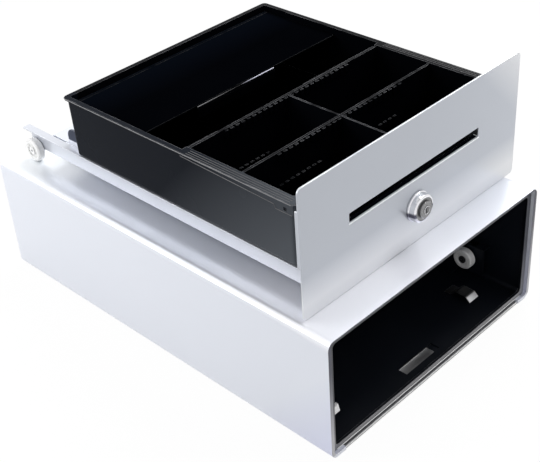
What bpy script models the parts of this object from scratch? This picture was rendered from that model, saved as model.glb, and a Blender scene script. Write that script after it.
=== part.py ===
"""Cash drawer: a sheet-steel housing with the drawer lifted out of it and standing on its roof.

Metres, +Z up, +X to the right seen from the front, -Y towards the front.
Origin: middle of the housing's underside.
"""

import math

import bmesh
import bpy
from mathutils import Matrix, Vector

# Housing sizes
housing_width = 0.265
housing_depth = 0.403
housing_height = 0.115
cover_bend = 0.0065
cover_flange = 0.016
hem_thickness = 0.003
hem_depth = 0.008
sheet = 0.0012
seat_gap = 0.0003
plate_setback = 0.0008

# Front frame
frame_recess = 0.00335
frame_side = 0.0047
frame_top_drop = 0.0045
frame_opening_drop = 0.0068
frame_lip_top = 0.0074
frame_return = 0.0026
frame_corner = 0.0035

# Inner chassis
chassis_wall_drop = 0.0085
chassis_lip_gap = 0.0003
floor_slot_width = 0.044
floor_slot_front = 0.0155
floor_slot_length = 0.009

# Rear panel and its socket
rear_inset = 0.0035
rear_flange = 0.012
socket_x = 0.07
socket_z = 0.034
socket_width = 0.0145
socket_height = 0.0135
socket_depth = 0.016
socket_flange = 0.003
socket_flange_thickness = 0.0012
socket_mouth_width = 0.0098
socket_mouth_height = 0.007
socket_mouth_depth = 0.012
socket_key_width = 0.0032
socket_key_height = 0.0016

# Runners, housing rollers and their pins
runner_wall_gap = 0.0104
runner_track_width = 0.0101
runner_guide_width = 0.0078
runner_height = 0.0258
runner_back_gap = 0.008
runner_bend = 0.0016
runner_setback = 0.0695
ear_setback = 0.041
ear_low = 0.008
ear_top = 0.0372
ear_round = 0.004
ear_tab_length = 0.010
roller_radius = 0.010
roller_width = 0.0076
roller_web_gap = 0.0015
roller_setback = 0.058
roller_z = 0.0245
roller_edge = 0.0012
roller_dish_radius = 0.0068
roller_dish_depth = 0.0012
pin_radius = 0.0025
pin_clearance = 0.00008
pin_head_radius = 0.0036
pin_head_height = 0.0009
pin_hole_gap = 0.0003
pin_side_gap = 0.00025

# Stop spring on the housing floor
stop_wall_gap = 0.03875
stop_width = 0.0125
stop_thickness = 0.001
stop_foot_back = 0.0575
stop_foot_front = 0.0505
stop_shoulder_setback = 0.0458
stop_shoulder_rise = 0.0052
stop_crest_setback = 0.0345
stop_crest_rise = 0.0048
stop_tip_setback = 0.0302
stop_tip_rise = 0.0007
stop_bend = 0.0015

# Glide block at the left of the opening
glide_low_z = 0.0375
glide_height = 0.0085
glide_reach = 0.0078
glide_top_reach = 0.0058
glide_setback = 0.0078
glide_thickness = 0.0025

# Latch, solenoid and their bracket
latch_x = 0.0
bracket_half_gap = 0.0095
bracket_front_inset = 0.063
bracket_back_inset = 0.041
bracket_height = 0.0605
latch_pivot_inset = 0.052
latch_pivot_z = 0.0545
latch_pin_radius = 0.002
latch_pin_head = 0.0032
latch_pin_head_height = 0.0008
latch_thickness = 0.003
latch_arm = 0.0042
latch_reach = 0.0365
latch_nose_drop = 0.0115
latch_nose_length = 0.007
latch_tail = 0.0335
latch_boss = 0.0058
latch_tail_step = 0.0004
fork_cheek = 0.0022
solenoid_inset = 0.027
solenoid_half_width = 0.0125
solenoid_half_depth = 0.0105
solenoid_frame_height = 0.036
solenoid_sheet = 0.0015
coil_radius = 0.0095
coil_height = 0.031
coil_bobbin = 0.0012
coil_flange_radius = 0.0102
plunger_radius = 0.0035
plunger_gap = 0.0004
plunger_inside = 0.020
plunger_neck_radius = 0.0018
plunger_head_height = 0.0016
plunger_collar_radius = 0.0048
fork_play = 0.0009
plunger_collar_height = 0.0012
spring_coil_radius = 0.0043
spring_wire = 0.0005
spring_turns = 5
spring_points = 10

# Ejector behind the drawer
ejector_x = -0.045
ejector_inset = 0.0295
ejector_lean = math.radians(30.0)
ejector_post_radius = 0.003
ejector_post_height = 0.040
ejector_post_foot = 0.0065
ejector_post_foot_height = 0.002
ejector_lever_z = 0.022
ejector_lever_height = 0.010
ejector_lever_length = 0.064
ejector_lever_thickness = 0.003
ejector_hub_radius = 0.0062
ejector_pad_radius = 0.0042
ejector_spring_wire = 0.0007
ejector_spring_gap = 0.0006
ejector_spring_turns = 3
ejector_spring_leg = 0.012

# Drawer switch
switch_x = 0.058
switch_inset = 0.0335
switch_width = 0.0064
switch_length = 0.020
switch_height = 0.011
switch_z = 0.020
switch_post_width = 0.008
switch_lever_length = 0.042
switch_lever_thickness = 0.0006
switch_lever_width = 0.004
switch_barrel_radius = 0.0011
switch_rest = math.radians(14.0)

# Where the drawer stands on the roof
drawer_x = 0.0074
drawer_setback = 0.0301
drawer_clearance = 0.0003

# Drawer panel
panel_side_margin = 0.0005
panel_height_margin = 0.002
panel_corner = 0.004
panel_return_depth = 0.0024
panel_return_low = 0.047
panel_return_drop = 0.0185
slot_left = 0.080
slot_right = 0.078
slot_low = 0.0588
slot_height = 0.0086
slot_lip_depth = 0.005
slot_end_round = 0.001

# Lock
lock_x = -0.001
lock_z = 0.0335
lock_base_radius = 0.013
lock_base_height = 0.0018
lock_barrel_radius = 0.0123
lock_rim_radius = 0.0117
lock_protrusion = 0.0075
lock_rim_edge = 0.0009
lock_face_radius = 0.0098
lock_face_depth = 0.0013
lock_body_radius = 0.0092
lock_hole_gap = 0.0003
lock_body_back = 0.0091
plug_radius = 0.0072
plug_clearance = 0.00008
plug_protrusion = 0.0098
plug_edge = 0.0006
plug_boss_radius = 0.0035
plug_tail_gap = 0.0002
keyway_width = 0.0014
keyway_height = 0.0085
keyway_depth = 0.007
nut_half_across = 0.0117
nut_thickness = 0.0025
cam_thickness = 0.0012
cam_half_width = 0.0052
cam_reach = 0.0295
cam_gap = 0.0002
cam_screw_radius = 0.0052
cam_screw_height = 0.0013
cam_shank_radius = 0.0015
cam_shank_length = 0.005

# Side rails and rear wheels
rail_panel_inset = 0.0206
rail_flange = 0.0076
rail_top = 0.033
rail_bottom = 0.0125
rail_depth_margin = 0.0485
rail_bend = 0.0016
rail_lug_radius = 0.008
rail_tab_front_inset = 0.0735
rail_tab_back_inset = 0.0595
rail_tab_top = 0.050
rail_tab_round = 0.008
wheel_radius = 0.011
wheel_width = 0.0072
wheel_inset = 0.0075
wheel_edge = 0.0012
wheel_dish_radius = 0.0072
wheel_dish_depth = 0.0010
wheel_web_gap = 0.0004

# Drawer pan and striker
pan_front = 0.0045
pan_riser_inset = 0.0715
pan_rear_inset = 0.0325
pan_rear_drop = 0.012
pan_bend = 0.0016
pan_side_lip = 0.008
striker_half_width = 0.009
striker_foot = 0.018
striker_top = 0.0505
striker_setback = 0.0015

# Insert tray
tray_x = -0.0014
tray_side_margin = 0.0115
tray_rim_drop = 0.0232
tray_front = 0.014
tray_rear_inset = 0.078
tray_rim_thickness = 0.0022
tray_draft = 0.0009
tray_wall = 0.0019
tray_lip = 0.0018
tray_rear_rim = 0.0043
tray_side_rim = 0.0092
tray_front_rim = 0.0078
tray_bill_length = 0.1455
tray_floor = 0.0018
tray_corner = 0.0038
tray_foot_round = 0.003
skirt_step = 0.0003
skirt_rear_height = 0.0026
skirt_front_height = 0.0056
skirt_lug_height = 0.0088
skirt_lug_length = 0.019
skirt_lug_round = 0.0014
cam_notch_gap = 0.002
skirt_slot_length = 0.0032
skirt_slot_height = 0.0032
skirt_slot_y = 0.0205
skirt_slot_drop = 0.0061
skirt_slot_depth = 0.0012
bill_divider_thickness = 0.0022
bill_divider_drop = 0.0012
coin_rib_share = 0.48443
coin_rib_thickness = 0.0022
coin_rib_drop = 0.0012
comb_pitch = 0.0062
comb_tooth = 0.0034
comb_depth = 0.0014
comb_height = 0.0062
comb_left = -0.0774
comb_right = 0.0744
comb_drop = 0.0012
low_comb_z = 0.0602
low_comb_left = -0.0766
low_comb_left_end = -0.0244
low_comb_right = 0.0409
low_comb_right_end = 0.0691
foot_comb_z = 0.0475
foot_comb_left = -0.0664
foot_comb_right = -0.0251
rear_ledge_setback = 0.006
rear_ledge_drop = 0.005
rear_ledge_left_end = 0.0746
rear_ledge_right_start = 0.0254
flap_pin_socket_depth = 0.0012

# Coin dividers
divider_x = -0.0011
divider_thickness = 0.0016
divider_gap = 0.0003
divider_drop = 0.0014
divider_foot_gap = 0.0004

# Bill flap
flap_thickness = 0.0018
flap_drop = 0.0058
flap_front_reach = 0.0525
flap_rear_gap = 0.0012
flap_side_gap = 0.0008
flap_lip_left = 0.0546
flap_lip_right = 0.0354
flap_lip_height = 0.0105
flap_lip_bend = 0.004
flap_barrel_radius = 0.0018
flap_pin_radius = 0.0011
flap_pin_gap = 0.0003
flap_pin_reach = 0.0009
flap_corner = 0.003

# Fineness of the curved forms
bend_steps = 4
round_steps = 24
wheel_steps = 32
lock_steps = 40
small_steps = 16
half_share = 0.5
merge_gap = 0.00001

# Colours, roughness and metallic shares
paint_colour = (0.62, 0.62, 0.68, 1.0)
panel_colour = (0.66, 0.67, 0.71, 1.0)
frame_colour = (0.42, 0.42, 0.44, 1.0)
zinc_colour = (0.55, 0.55, 0.57, 1.0)
chassis_colour = (0.012, 0.013, 0.018, 1.0)
chrome_colour = (0.82, 0.82, 0.84, 1.0)
tray_colour = (0.012, 0.012, 0.014, 1.0)
nylon_colour = (0.78, 0.78, 0.76, 1.0)
dark_pin_colour = (0.05, 0.05, 0.055, 1.0)
plate_colour = (0.86, 0.86, 0.86, 1.0)
copper_colour = (0.45, 0.20, 0.08, 1.0)
socket_colour = (0.02, 0.02, 0.02, 1.0)
matt_share = 0.5
satin_share = 0.32
gloss_share = 0.16
bare_share = 0.85
painted_share = 0.15
plain_share = 0.0

# Derived positions
half_width = housing_width / 2
front_y = -housing_depth / 2
rear_y = housing_depth / 2
inner_half = half_width - sheet - seat_gap
floor_low = sheet + seat_gap
floor_top = floor_low + sheet
seat_z = floor_top + seat_gap
frame_front_y = front_y + frame_recess
frame_back_y = frame_front_y + sheet
frame_outer = half_width - hem_thickness - seat_gap
frame_inner = frame_outer - frame_side
rear_outer_y = rear_y - rear_inset
rear_inner_y = rear_outer_y - sheet
over = housing_width
frame_top_edge = housing_height - frame_top_drop
frame_opening_top = housing_height - frame_opening_drop
chassis_wall_height = housing_height - chassis_wall_drop
runner_web_x = inner_half - runner_wall_gap
roller_face_x = runner_web_x - roller_web_gap - roller_width
roller_y = front_y + roller_setback
stop_x = inner_half - stop_wall_gap
latch_pivot_y = rear_y - latch_pivot_inset
solenoid_y = rear_y - solenoid_inset
ejector_y = rear_y - ejector_inset
switch_y = rear_y - switch_inset
panel_width = housing_width - 2 * panel_side_margin
panel_height = housing_height - panel_height_margin
rail_web_x = panel_width / 2 - rail_panel_inset
rail_rear = housing_depth - rail_depth_margin
wheel_y = rail_rear - wheel_inset
pan_rear = rail_rear - pan_rear_inset
pan_riser_y = rail_rear - pan_riser_inset
tray_width = panel_width - 2 * tray_side_margin
tray_rim_top = panel_height - tray_rim_drop
tray_rear = rail_rear - tray_rear_inset
tray_step_y = tray_rear - tray_bill_length
coin_front = tray_front + tray_front_rim
coin_rib_y = coin_front + (tray_step_y - coin_front) * coin_rib_share
flap_front = tray_step_y + flap_front_reach
flap_top_z = tray_rim_top - flap_drop
flap_hinge_z = flap_top_z - flap_thickness / 2
bill_rear = tray_rear - tray_rear_rim
flap_hinge_y = bill_rear - flap_rear_gap - flap_barrel_radius
slot_high = slot_low + slot_height

collection = None
cutters = None


def clear_scene():
    for obj in list(bpy.data.objects):
        bpy.data.objects.remove(obj, do_unlink=True)


def new_collection(name):
    made = bpy.data.collections.new(name)
    bpy.context.scene.collection.children.link(made)
    return made


def material(name, colour, roughness, metallic):
    """A plain material of one colour, roughness and metallic share."""
    made = bpy.data.materials.new(name)
    made.use_nodes = True
    shader = made.node_tree.nodes["Principled BSDF"]
    shader.inputs["Base Color"].default_value = colour
    shader.inputs["Roughness"].default_value = roughness
    shader.inputs["Metallic"].default_value = metallic
    made.diffuse_color = colour
    return made


def station(name, place, parent=None):
    """An empty that carries the pieces of one group."""
    made = bpy.data.objects.new(name, None)
    made.location = place
    made.parent = parent
    collection.objects.link(made)
    return made


def add_object(name, data, parent, looks=None):
    made = bpy.data.objects.new(name, data)
    made.parent = parent
    collection.objects.link(made)
    if looks:
        data.materials.append(looks)
    return made


def as_cutter(obj):
    """Moves a shape that only cuts or joins into the hidden collection."""
    collection.objects.unlink(obj)
    cutters.objects.link(obj)
    obj.hide_render = True
    obj.display_type = "WIRE"
    return obj


def boolean(obj, other, operation, label):
    step = obj.modifiers.new(label, "BOOLEAN")
    step.operation = operation
    step.solver = "EXACT"
    step.object = as_cutter(other)


def cut(obj, *others):
    for other in others:
        boolean(obj, other, "DIFFERENCE", "Cut " + other.name)


def weld_on(obj, *others):
    for other in others:
        boolean(obj, other, "UNION", "Add " + other.name)


def pivot_at(obj, place):
    """Moves the object's origin onto its joint axis and leaves its shape where it stands."""
    obj.data.transform(Matrix.Translation(-Vector(place)))
    obj.location = place


def block(name, low, high, parent, looks=None, round_axis=None, radius=0.0, steps=bend_steps, keep=None):
    """A box between two corners, with its edges along one axis rounded."""
    data = bpy.data.meshes.new(name)
    shape = bmesh.new()
    bmesh.ops.create_cube(shape, size=1.0)
    for vert in shape.verts:
        for axis in range(3):
            share = vert.co[axis] + half_share
            vert.co[axis] = low[axis] + share * (high[axis] - low[axis])
    if round_axis is not None:
        chosen = []
        for edge in shape.edges:
            run = edge.verts[1].co - edge.verts[0].co
            middle = (edge.verts[0].co + edge.verts[1].co) / 2
            along = abs(run[round_axis]) > run.length / 2
            if along and (keep is None or keep(middle)):
                chosen.append(edge)
        bmesh.ops.bevel(
            shape, geom=chosen, offset=radius, offset_type="OFFSET", segments=steps,
            profile=half_share, affect="EDGES", clamp_overlap=False,
        )
    bmesh.ops.recalc_face_normals(shape, faces=shape.faces)
    shape.to_mesh(data)
    shape.free()
    return add_object(name, data, parent, looks)


def turn_to(axis, flip=False):
    """A turn that brings +Z onto one of the axes."""
    target = Vector([float(index == axis) for index in range(3)])
    if flip:
        target = -target
    return Vector((0, 0, 1)).rotation_difference(target).to_matrix().to_4x4()


def rod(name, centre, axis, radius, length, parent, looks=None, steps=round_steps):
    """A round bar centred on a point."""
    data = bpy.data.meshes.new(name)
    shape = bmesh.new()
    bmesh.ops.create_cone(
        shape, cap_ends=True, cap_tris=False, segments=steps, radius1=radius, radius2=radius,
        depth=length, matrix=Matrix.Translation(centre) @ turn_to(axis),
    )
    shape.to_mesh(data)
    shape.free()
    return add_object(name, data, parent, looks)


def turned(name, profile, place, axis, parent, looks=None, steps=wheel_steps, flip=False, ring=False):
    """A turned piece from a profile of radius and height, its outer side running from top to bottom."""
    data = bpy.data.meshes.new(name)
    shape = bmesh.new()
    verts = [shape.verts.new((radius, 0, height)) for radius, height in profile]
    for first, second in zip(verts, verts[1:]):
        shape.edges.new((first, second))
    if ring:
        shape.edges.new((verts[-1], verts[0]))
    bmesh.ops.spin(
        shape, geom=shape.verts[:] + shape.edges[:], cent=(0, 0, 0), axis=(0, 0, 1),
        angle=2 * math.pi, steps=steps, use_merge=True,
    )
    bmesh.ops.remove_doubles(shape, verts=shape.verts, dist=merge_gap)
    bmesh.ops.recalc_face_normals(shape, faces=shape.faces)
    shape.to_mesh(data)
    shape.free()
    data.transform(turn_to(axis, flip))
    data.transform(Matrix.Translation(place))
    return add_object(name, data, parent, looks)


def place_in_plane(point, plane, level):
    """A point of a drawing in one plane, at a level along the third axis."""
    first, second = point
    if plane == "XZ":
        return (first, level, second)
    if plane == "YZ":
        return (level, first, second)
    return (first, second, level)


def rounded_path(points, radius, steps=bend_steps):
    """A path with an arc of the same radius at each of its inner corners."""
    path = [Vector(points[0])]
    for before, corner, after in zip(points, points[1:], points[2:]):
        corner = Vector(corner)
        back = (Vector(before) - corner).normalized()
        ahead = (Vector(after) - corner).normalized()
        half = back.angle(ahead) / 2
        reach = radius / math.tan(half)
        centre = corner + (back + ahead).normalized() * (radius / math.sin(half))
        start = corner + back * reach - centre
        sweep = start.angle_signed(corner + ahead * reach - centre)
        for index in range(steps + 1):
            turn = Matrix.Rotation(-sweep * index / steps, 2)
            path.append(centre + turn @ start)
    path.append(Vector(points[-1]))
    return path


def bent_sheet(name, points, plane, low, high, thickness, parent, looks=None, radius=0.0):
    """A strip of sheet bent along a centre line."""
    path = rounded_path(points, radius) if radius else [Vector(point) for point in points]
    data = bpy.data.meshes.new(name)
    shape = bmesh.new()
    near = [shape.verts.new(place_in_plane(point, plane, low)) for point in path]
    far = [shape.verts.new(place_in_plane(point, plane, high)) for point in path]
    for index in range(len(path) - 1):
        shape.faces.new((near[index], near[index + 1], far[index + 1], far[index]))
    shape.to_mesh(data)
    shape.free()
    made = add_object(name, data, parent, looks)
    skin = made.modifiers.new("Sheet", "SOLIDIFY")
    skin.thickness = thickness
    skin.offset = 0.0
    skin.use_even_offset = True
    return made


def plate(name, points, plane, low, high, parent, looks=None):
    """A flat plate with the outline of a drawing."""
    data = bpy.data.curves.new(name, "CURVE")
    data.dimensions = "2D"
    data.fill_mode = "BOTH"
    data.extrude = (high - low) / 2
    line = data.splines.new("POLY")
    line.points.add(len(points) - 1)
    for spot, (first, second) in zip(line.points, points):
        spot.co = (first, second, 0, 1)
    line.use_cyclic_u = True
    guide = bpy.data.objects.new(name + "_outline", data)
    collection.objects.link(guide)
    bpy.context.view_layer.update()
    graph = bpy.context.evaluated_depsgraph_get()
    solid = bpy.data.meshes.new_from_object(guide.evaluated_get(graph))
    solid.name = name
    bpy.data.objects.remove(guide, do_unlink=True)
    shape = bmesh.new()
    shape.from_mesh(solid)
    bmesh.ops.remove_doubles(shape, verts=shape.verts, dist=merge_gap)
    for vert in shape.verts:
        vert.co = place_in_plane((vert.co.x, vert.co.y), plane, vert.co.z + (low + high) / 2)
    bmesh.ops.recalc_face_normals(shape, faces=shape.faces)
    shape.to_mesh(solid)
    shape.free()
    return add_object(name, solid, parent, looks)


def arc(centre, radius, start, end, steps):
    """Points along an arc, angles in degrees."""
    points = []
    for index in range(steps + 1):
        angle = math.radians(start + (end - start) * index / steps)
        points.append((centre[0] + radius * math.cos(angle), centre[1] + radius * math.sin(angle)))
    return points


def wire(name, points, radius, parent, looks=None, resolution=1):
    """A round wire through points, with closed ends."""
    data = bpy.data.curves.new(name, "CURVE")
    data.dimensions = "3D"
    data.bevel_depth = radius
    data.bevel_resolution = resolution
    data.use_fill_caps = True
    line = data.splines.new("POLY")
    line.points.add(len(points) - 1)
    for spot, point in zip(line.points, points):
        spot.co = (*point, 1)
    guide = bpy.data.objects.new(name + "_line", data)
    collection.objects.link(guide)
    bpy.context.view_layer.update()
    graph = bpy.context.evaluated_depsgraph_get()
    solid = bpy.data.meshes.new_from_object(guide.evaluated_get(graph))
    solid.name = name
    bpy.data.objects.remove(guide, do_unlink=True)
    shape = bmesh.new()
    shape.from_mesh(solid)
    bmesh.ops.remove_doubles(shape, verts=shape.verts, dist=merge_gap)
    bmesh.ops.recalc_face_normals(shape, faces=shape.faces)
    shape.to_mesh(solid)
    shape.free()
    return add_object(name, solid, parent, looks)


def build_cover(housing, paint):
    cover = block(
        "outer_cover", (-half_width, front_y, 0), (half_width, rear_y, housing_height), housing, paint,
        1, cover_bend, bend_steps + 1,
    )
    hollow = block(
        "cover_hollow", (-half_width + sheet, front_y + hem_depth, sheet),
        (half_width - sheet, rear_y + over, housing_height - sheet), housing, None, 1, cover_bend - sheet,
        bend_steps + 1,
    )
    mouth = block(
        "cover_mouth", (-half_width + hem_thickness, front_y - over, hem_thickness),
        (half_width - hem_thickness, front_y + 2 * hem_depth, housing_height - sheet), housing, None, 1,
        cover_bend - hem_thickness,
    )
    under = block(
        "cover_underside", (-half_width + cover_flange, front_y - over, -over),
        (half_width - cover_flange, rear_y + over, housing_height / 2), housing,
    )
    cut(cover, hollow, mouth, under)


def build_housing(housing, looks):
    build_cover(housing, looks["paint"])
    bottom_half = half_width - cover_flange - seat_gap
    block(
        "bottom_plate", (-bottom_half, front_y + plate_setback, 0),
        (bottom_half, rear_y - plate_setback, sheet),
        housing, looks["plate"],
    )

    chassis_front = frame_back_y + chassis_lip_gap
    wall_front = front_y + hem_depth + seat_gap
    floor_rear = rear_inner_y - seat_gap
    chassis = block(
        "inner_chassis", (-inner_half, chassis_front, floor_low),
        (inner_half, floor_rear, chassis_wall_height),
        housing, looks["chassis"], 1, cover_bend - sheet - seat_gap, bend_steps,
        lambda spot: spot.z < sheet + sheet,
    )
    room = block(
        "chassis_room", (-inner_half + sheet, chassis_front + sheet, floor_top),
        (inner_half - sheet, rear_y + over, over), housing, None, 1, cover_bend - sheet - seat_gap - sheet,
        bend_steps, lambda spot: spot.z < housing_height / 2,
    )
    lip_limit = block(
        "chassis_lip_limit", (-over, front_y - over, frame_lip_top - sheet - seat_gap),
        (over, wall_front, over), housing,
    )
    left_notch = block(
        "chassis_left_notch", (-over, front_y - over, -over), (-bottom_half, wall_front, over), housing,
    )
    right_notch = block(
        "chassis_right_notch", (bottom_half, front_y - over, -over), (over, wall_front, over), housing,
    )
    slot_front = front_y + floor_slot_front
    slot = block(
        "chassis_slot", (-floor_slot_width / 2, slot_front, -over),
        (floor_slot_width / 2, slot_front + floor_slot_length, floor_top + sheet), housing,
    )
    cut(chassis, room, lip_limit, left_notch, right_notch, slot)

    frame = block(
        "front_frame", (-frame_outer, frame_front_y, hem_thickness + seat_gap),
        (frame_outer, frame_back_y, frame_top_edge), housing, looks["frame"], 1, frame_corner,
    )
    back_ring = block(
        "frame_return_outer", (-frame_inner - sheet, frame_front_y + sheet / 2, frame_lip_top - sheet),
        (frame_inner + sheet, frame_front_y + frame_return, frame_opening_top + sheet), housing, None, 1,
        frame_corner + sheet,
    )
    opening = block(
        "frame_opening", (-frame_inner, front_y - over, frame_lip_top),
        (frame_inner, front_y + over, frame_opening_top), housing, None, 1, frame_corner,
    )
    weld_on(frame, back_ring)
    cut(frame, opening)

    rear = block(
        "rear_panel", (-inner_half, rear_inner_y, floor_low),
        (inner_half, rear_outer_y, housing_height - floor_low),
        housing, looks["paint"], 1, cover_bend - sheet - seat_gap,
    )
    flange_half = inner_half - cover_bend
    top_flange = block(
        "rear_top_flange", (-flange_half, rear_inner_y - rear_flange, housing_height - floor_low - sheet),
        (flange_half, rear_outer_y - sheet / 2, housing_height - floor_low), housing,
    )
    socket_hole = block(
        "rear_socket_hole",
        (socket_x - socket_width / 2 - seat_gap, rear_y - over, socket_z - socket_height / 2 - seat_gap),
        (socket_x + socket_width / 2 + seat_gap, rear_y + over, socket_z + socket_height / 2 + seat_gap),
        housing,
    )
    weld_on(rear, top_flange)
    cut(rear, socket_hole)
    build_socket(housing, looks)


def build_socket(housing, looks):
    face_y = rear_outer_y + seat_gap
    body_front = face_y + socket_flange_thickness - socket_depth
    body = block(
        "rear_socket",
        (socket_x - socket_width / 2, body_front, socket_z - socket_height / 2),
        (socket_x + socket_width / 2, face_y + socket_flange_thickness / 2, socket_z + socket_height / 2),
        housing, looks["socket"],
    )
    rim = block(
        "socket_rim",
        (socket_x - socket_width / 2 - socket_flange, face_y, socket_z - socket_height / 2 - socket_flange),
        (socket_x + socket_width / 2 + socket_flange, face_y + socket_flange_thickness,
         socket_z + socket_height / 2 + socket_flange),
        housing, None, 1, socket_flange / 2,
    )
    mouth_y = face_y + socket_flange_thickness - socket_mouth_depth
    mouth_low = socket_z - socket_mouth_height / 2
    mouth = block(
        "socket_mouth", (socket_x - socket_mouth_width / 2, mouth_y, mouth_low),
        (socket_x + socket_mouth_width / 2, rear_y + over, mouth_low + socket_mouth_height), housing,
    )
    key = block(
        "socket_key", (socket_x - socket_key_width / 2, mouth_y, mouth_low - socket_key_height),
        (socket_x + socket_key_width / 2, rear_y + over, mouth_low + socket_key_height), housing,
    )
    weld_on(body, rim)
    cut(body, mouth, key)


def build_runner(side, name, housing, looks):
    """Wheel track, guide over the wheels and the ear that carries the roller, on one side."""
    back = rear_inner_y - runner_back_gap
    start = front_y + runner_setback
    ear_front = front_y + ear_setback
    track_z = seat_z + sheet / 2
    web_x = side * (runner_web_x + sheet / 2)
    top_z = seat_z + runner_height
    outline = [
        (side * (runner_web_x - runner_track_width), track_z), (web_x, track_z), (web_x, top_z),
        (side * (runner_web_x - runner_guide_width), top_z),
    ]
    runner = bent_sheet(
        "runner_" + name, outline, "XZ", start, back, sheet, housing, looks["chassis"], runner_bend,
    )
    low_x, high_x = sorted((side * runner_web_x, side * (runner_web_x + sheet)))
    ear_back = start + roller_radius
    ear = block(
        "ear_" + name, (low_x, ear_front, ear_low), (high_x, ear_back, ear_top), housing, None, 0,
        ear_round,
        bend_steps, lambda spot: spot.y > start and spot.z > roller_radius + ear_low,
    )
    clear = block(
        "ear_clear_" + name, (low_x - sheet, start, top_z - sheet),
        (high_x + sheet, over, top_z + over), housing,
    )
    wall_x = side * (inner_half - sheet - seat_gap)
    low_x, high_x = sorted((side * (runner_web_x + sheet / 2), wall_x))
    tab = block(
        "ear_tab_" + name, (low_x, ear_front, ear_top - sheet),
        (high_x, ear_front + ear_tab_length, ear_top),
        housing,
    )
    cut(ear, clear)
    hole = rod(
        "ear_hole_" + name, (web_x, roller_y, roller_z), 0, pin_radius + pin_hole_gap, over / 10, housing,
        None, small_steps,
    )
    weld_on(runner, ear, tab)
    cut(runner, hole)


def build_roller(side, name, housing, looks):
    middle_x = side * (roller_face_x + roller_width / 2)
    half = roller_width / 2
    bore = pin_radius + pin_clearance
    profile = [
        (bore, half), (roller_radius - roller_edge, half), (roller_radius, half - roller_edge),
        (roller_radius, roller_edge - half), (roller_radius - roller_edge, -half),
        (roller_dish_radius, -half), (roller_dish_radius - roller_dish_depth, roller_dish_depth - half),
        (bore, roller_dish_depth - half),
    ]
    roller = turned(
        "housing_roller_" + name, profile, (middle_x, roller_y, roller_z), 0, housing, looks["nylon"],
        wheel_steps, side < 0, True,
    )
    pivot_at(roller, (middle_x, roller_y, roller_z))
    outer = runner_web_x + sheet + pin_side_gap
    dish_face = roller_face_x + roller_dish_depth - pin_side_gap
    shank_end = outer + pin_head_height
    pin_profile = [
        (0, shank_end), (pin_head_radius, shank_end), (pin_head_radius, outer), (pin_radius, outer),
        (pin_radius, dish_face), (pin_head_radius, dish_face),
        (pin_head_radius, dish_face - pin_head_height),
        (0, dish_face - pin_head_height),
    ]
    turned(
        "roller_pin_" + name, pin_profile, (0, roller_y, roller_z), 0, housing, looks["pin"], round_steps,
        side < 0,
    )


def build_stop_spring(housing, looks):
    base = seat_z + stop_thickness / 2
    path = [
        (front_y + stop_foot_back, base), (front_y + stop_foot_front, base),
        (front_y + stop_shoulder_setback, base + stop_shoulder_rise),
        (front_y + stop_crest_setback, base + stop_crest_rise),
        (front_y + stop_tip_setback, base + stop_tip_rise),
    ]
    bent_sheet(
        "stop_spring", path, "YZ", stop_x - stop_width / 2, stop_x + stop_width / 2, stop_thickness,
        housing,
        looks["zinc"], stop_bend,
    )


def build_glide(housing, looks):
    inner = -frame_inner + seat_gap
    outline = [
        (inner, glide_low_z), (inner + glide_reach, glide_low_z),
        (inner + glide_top_reach, glide_low_z + glide_height), (inner, glide_low_z + glide_height - sheet),
    ]
    back = front_y + glide_setback
    plate("glide_block", outline, "XZ", back - glide_thickness, back, housing, looks["nylon"])


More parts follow.
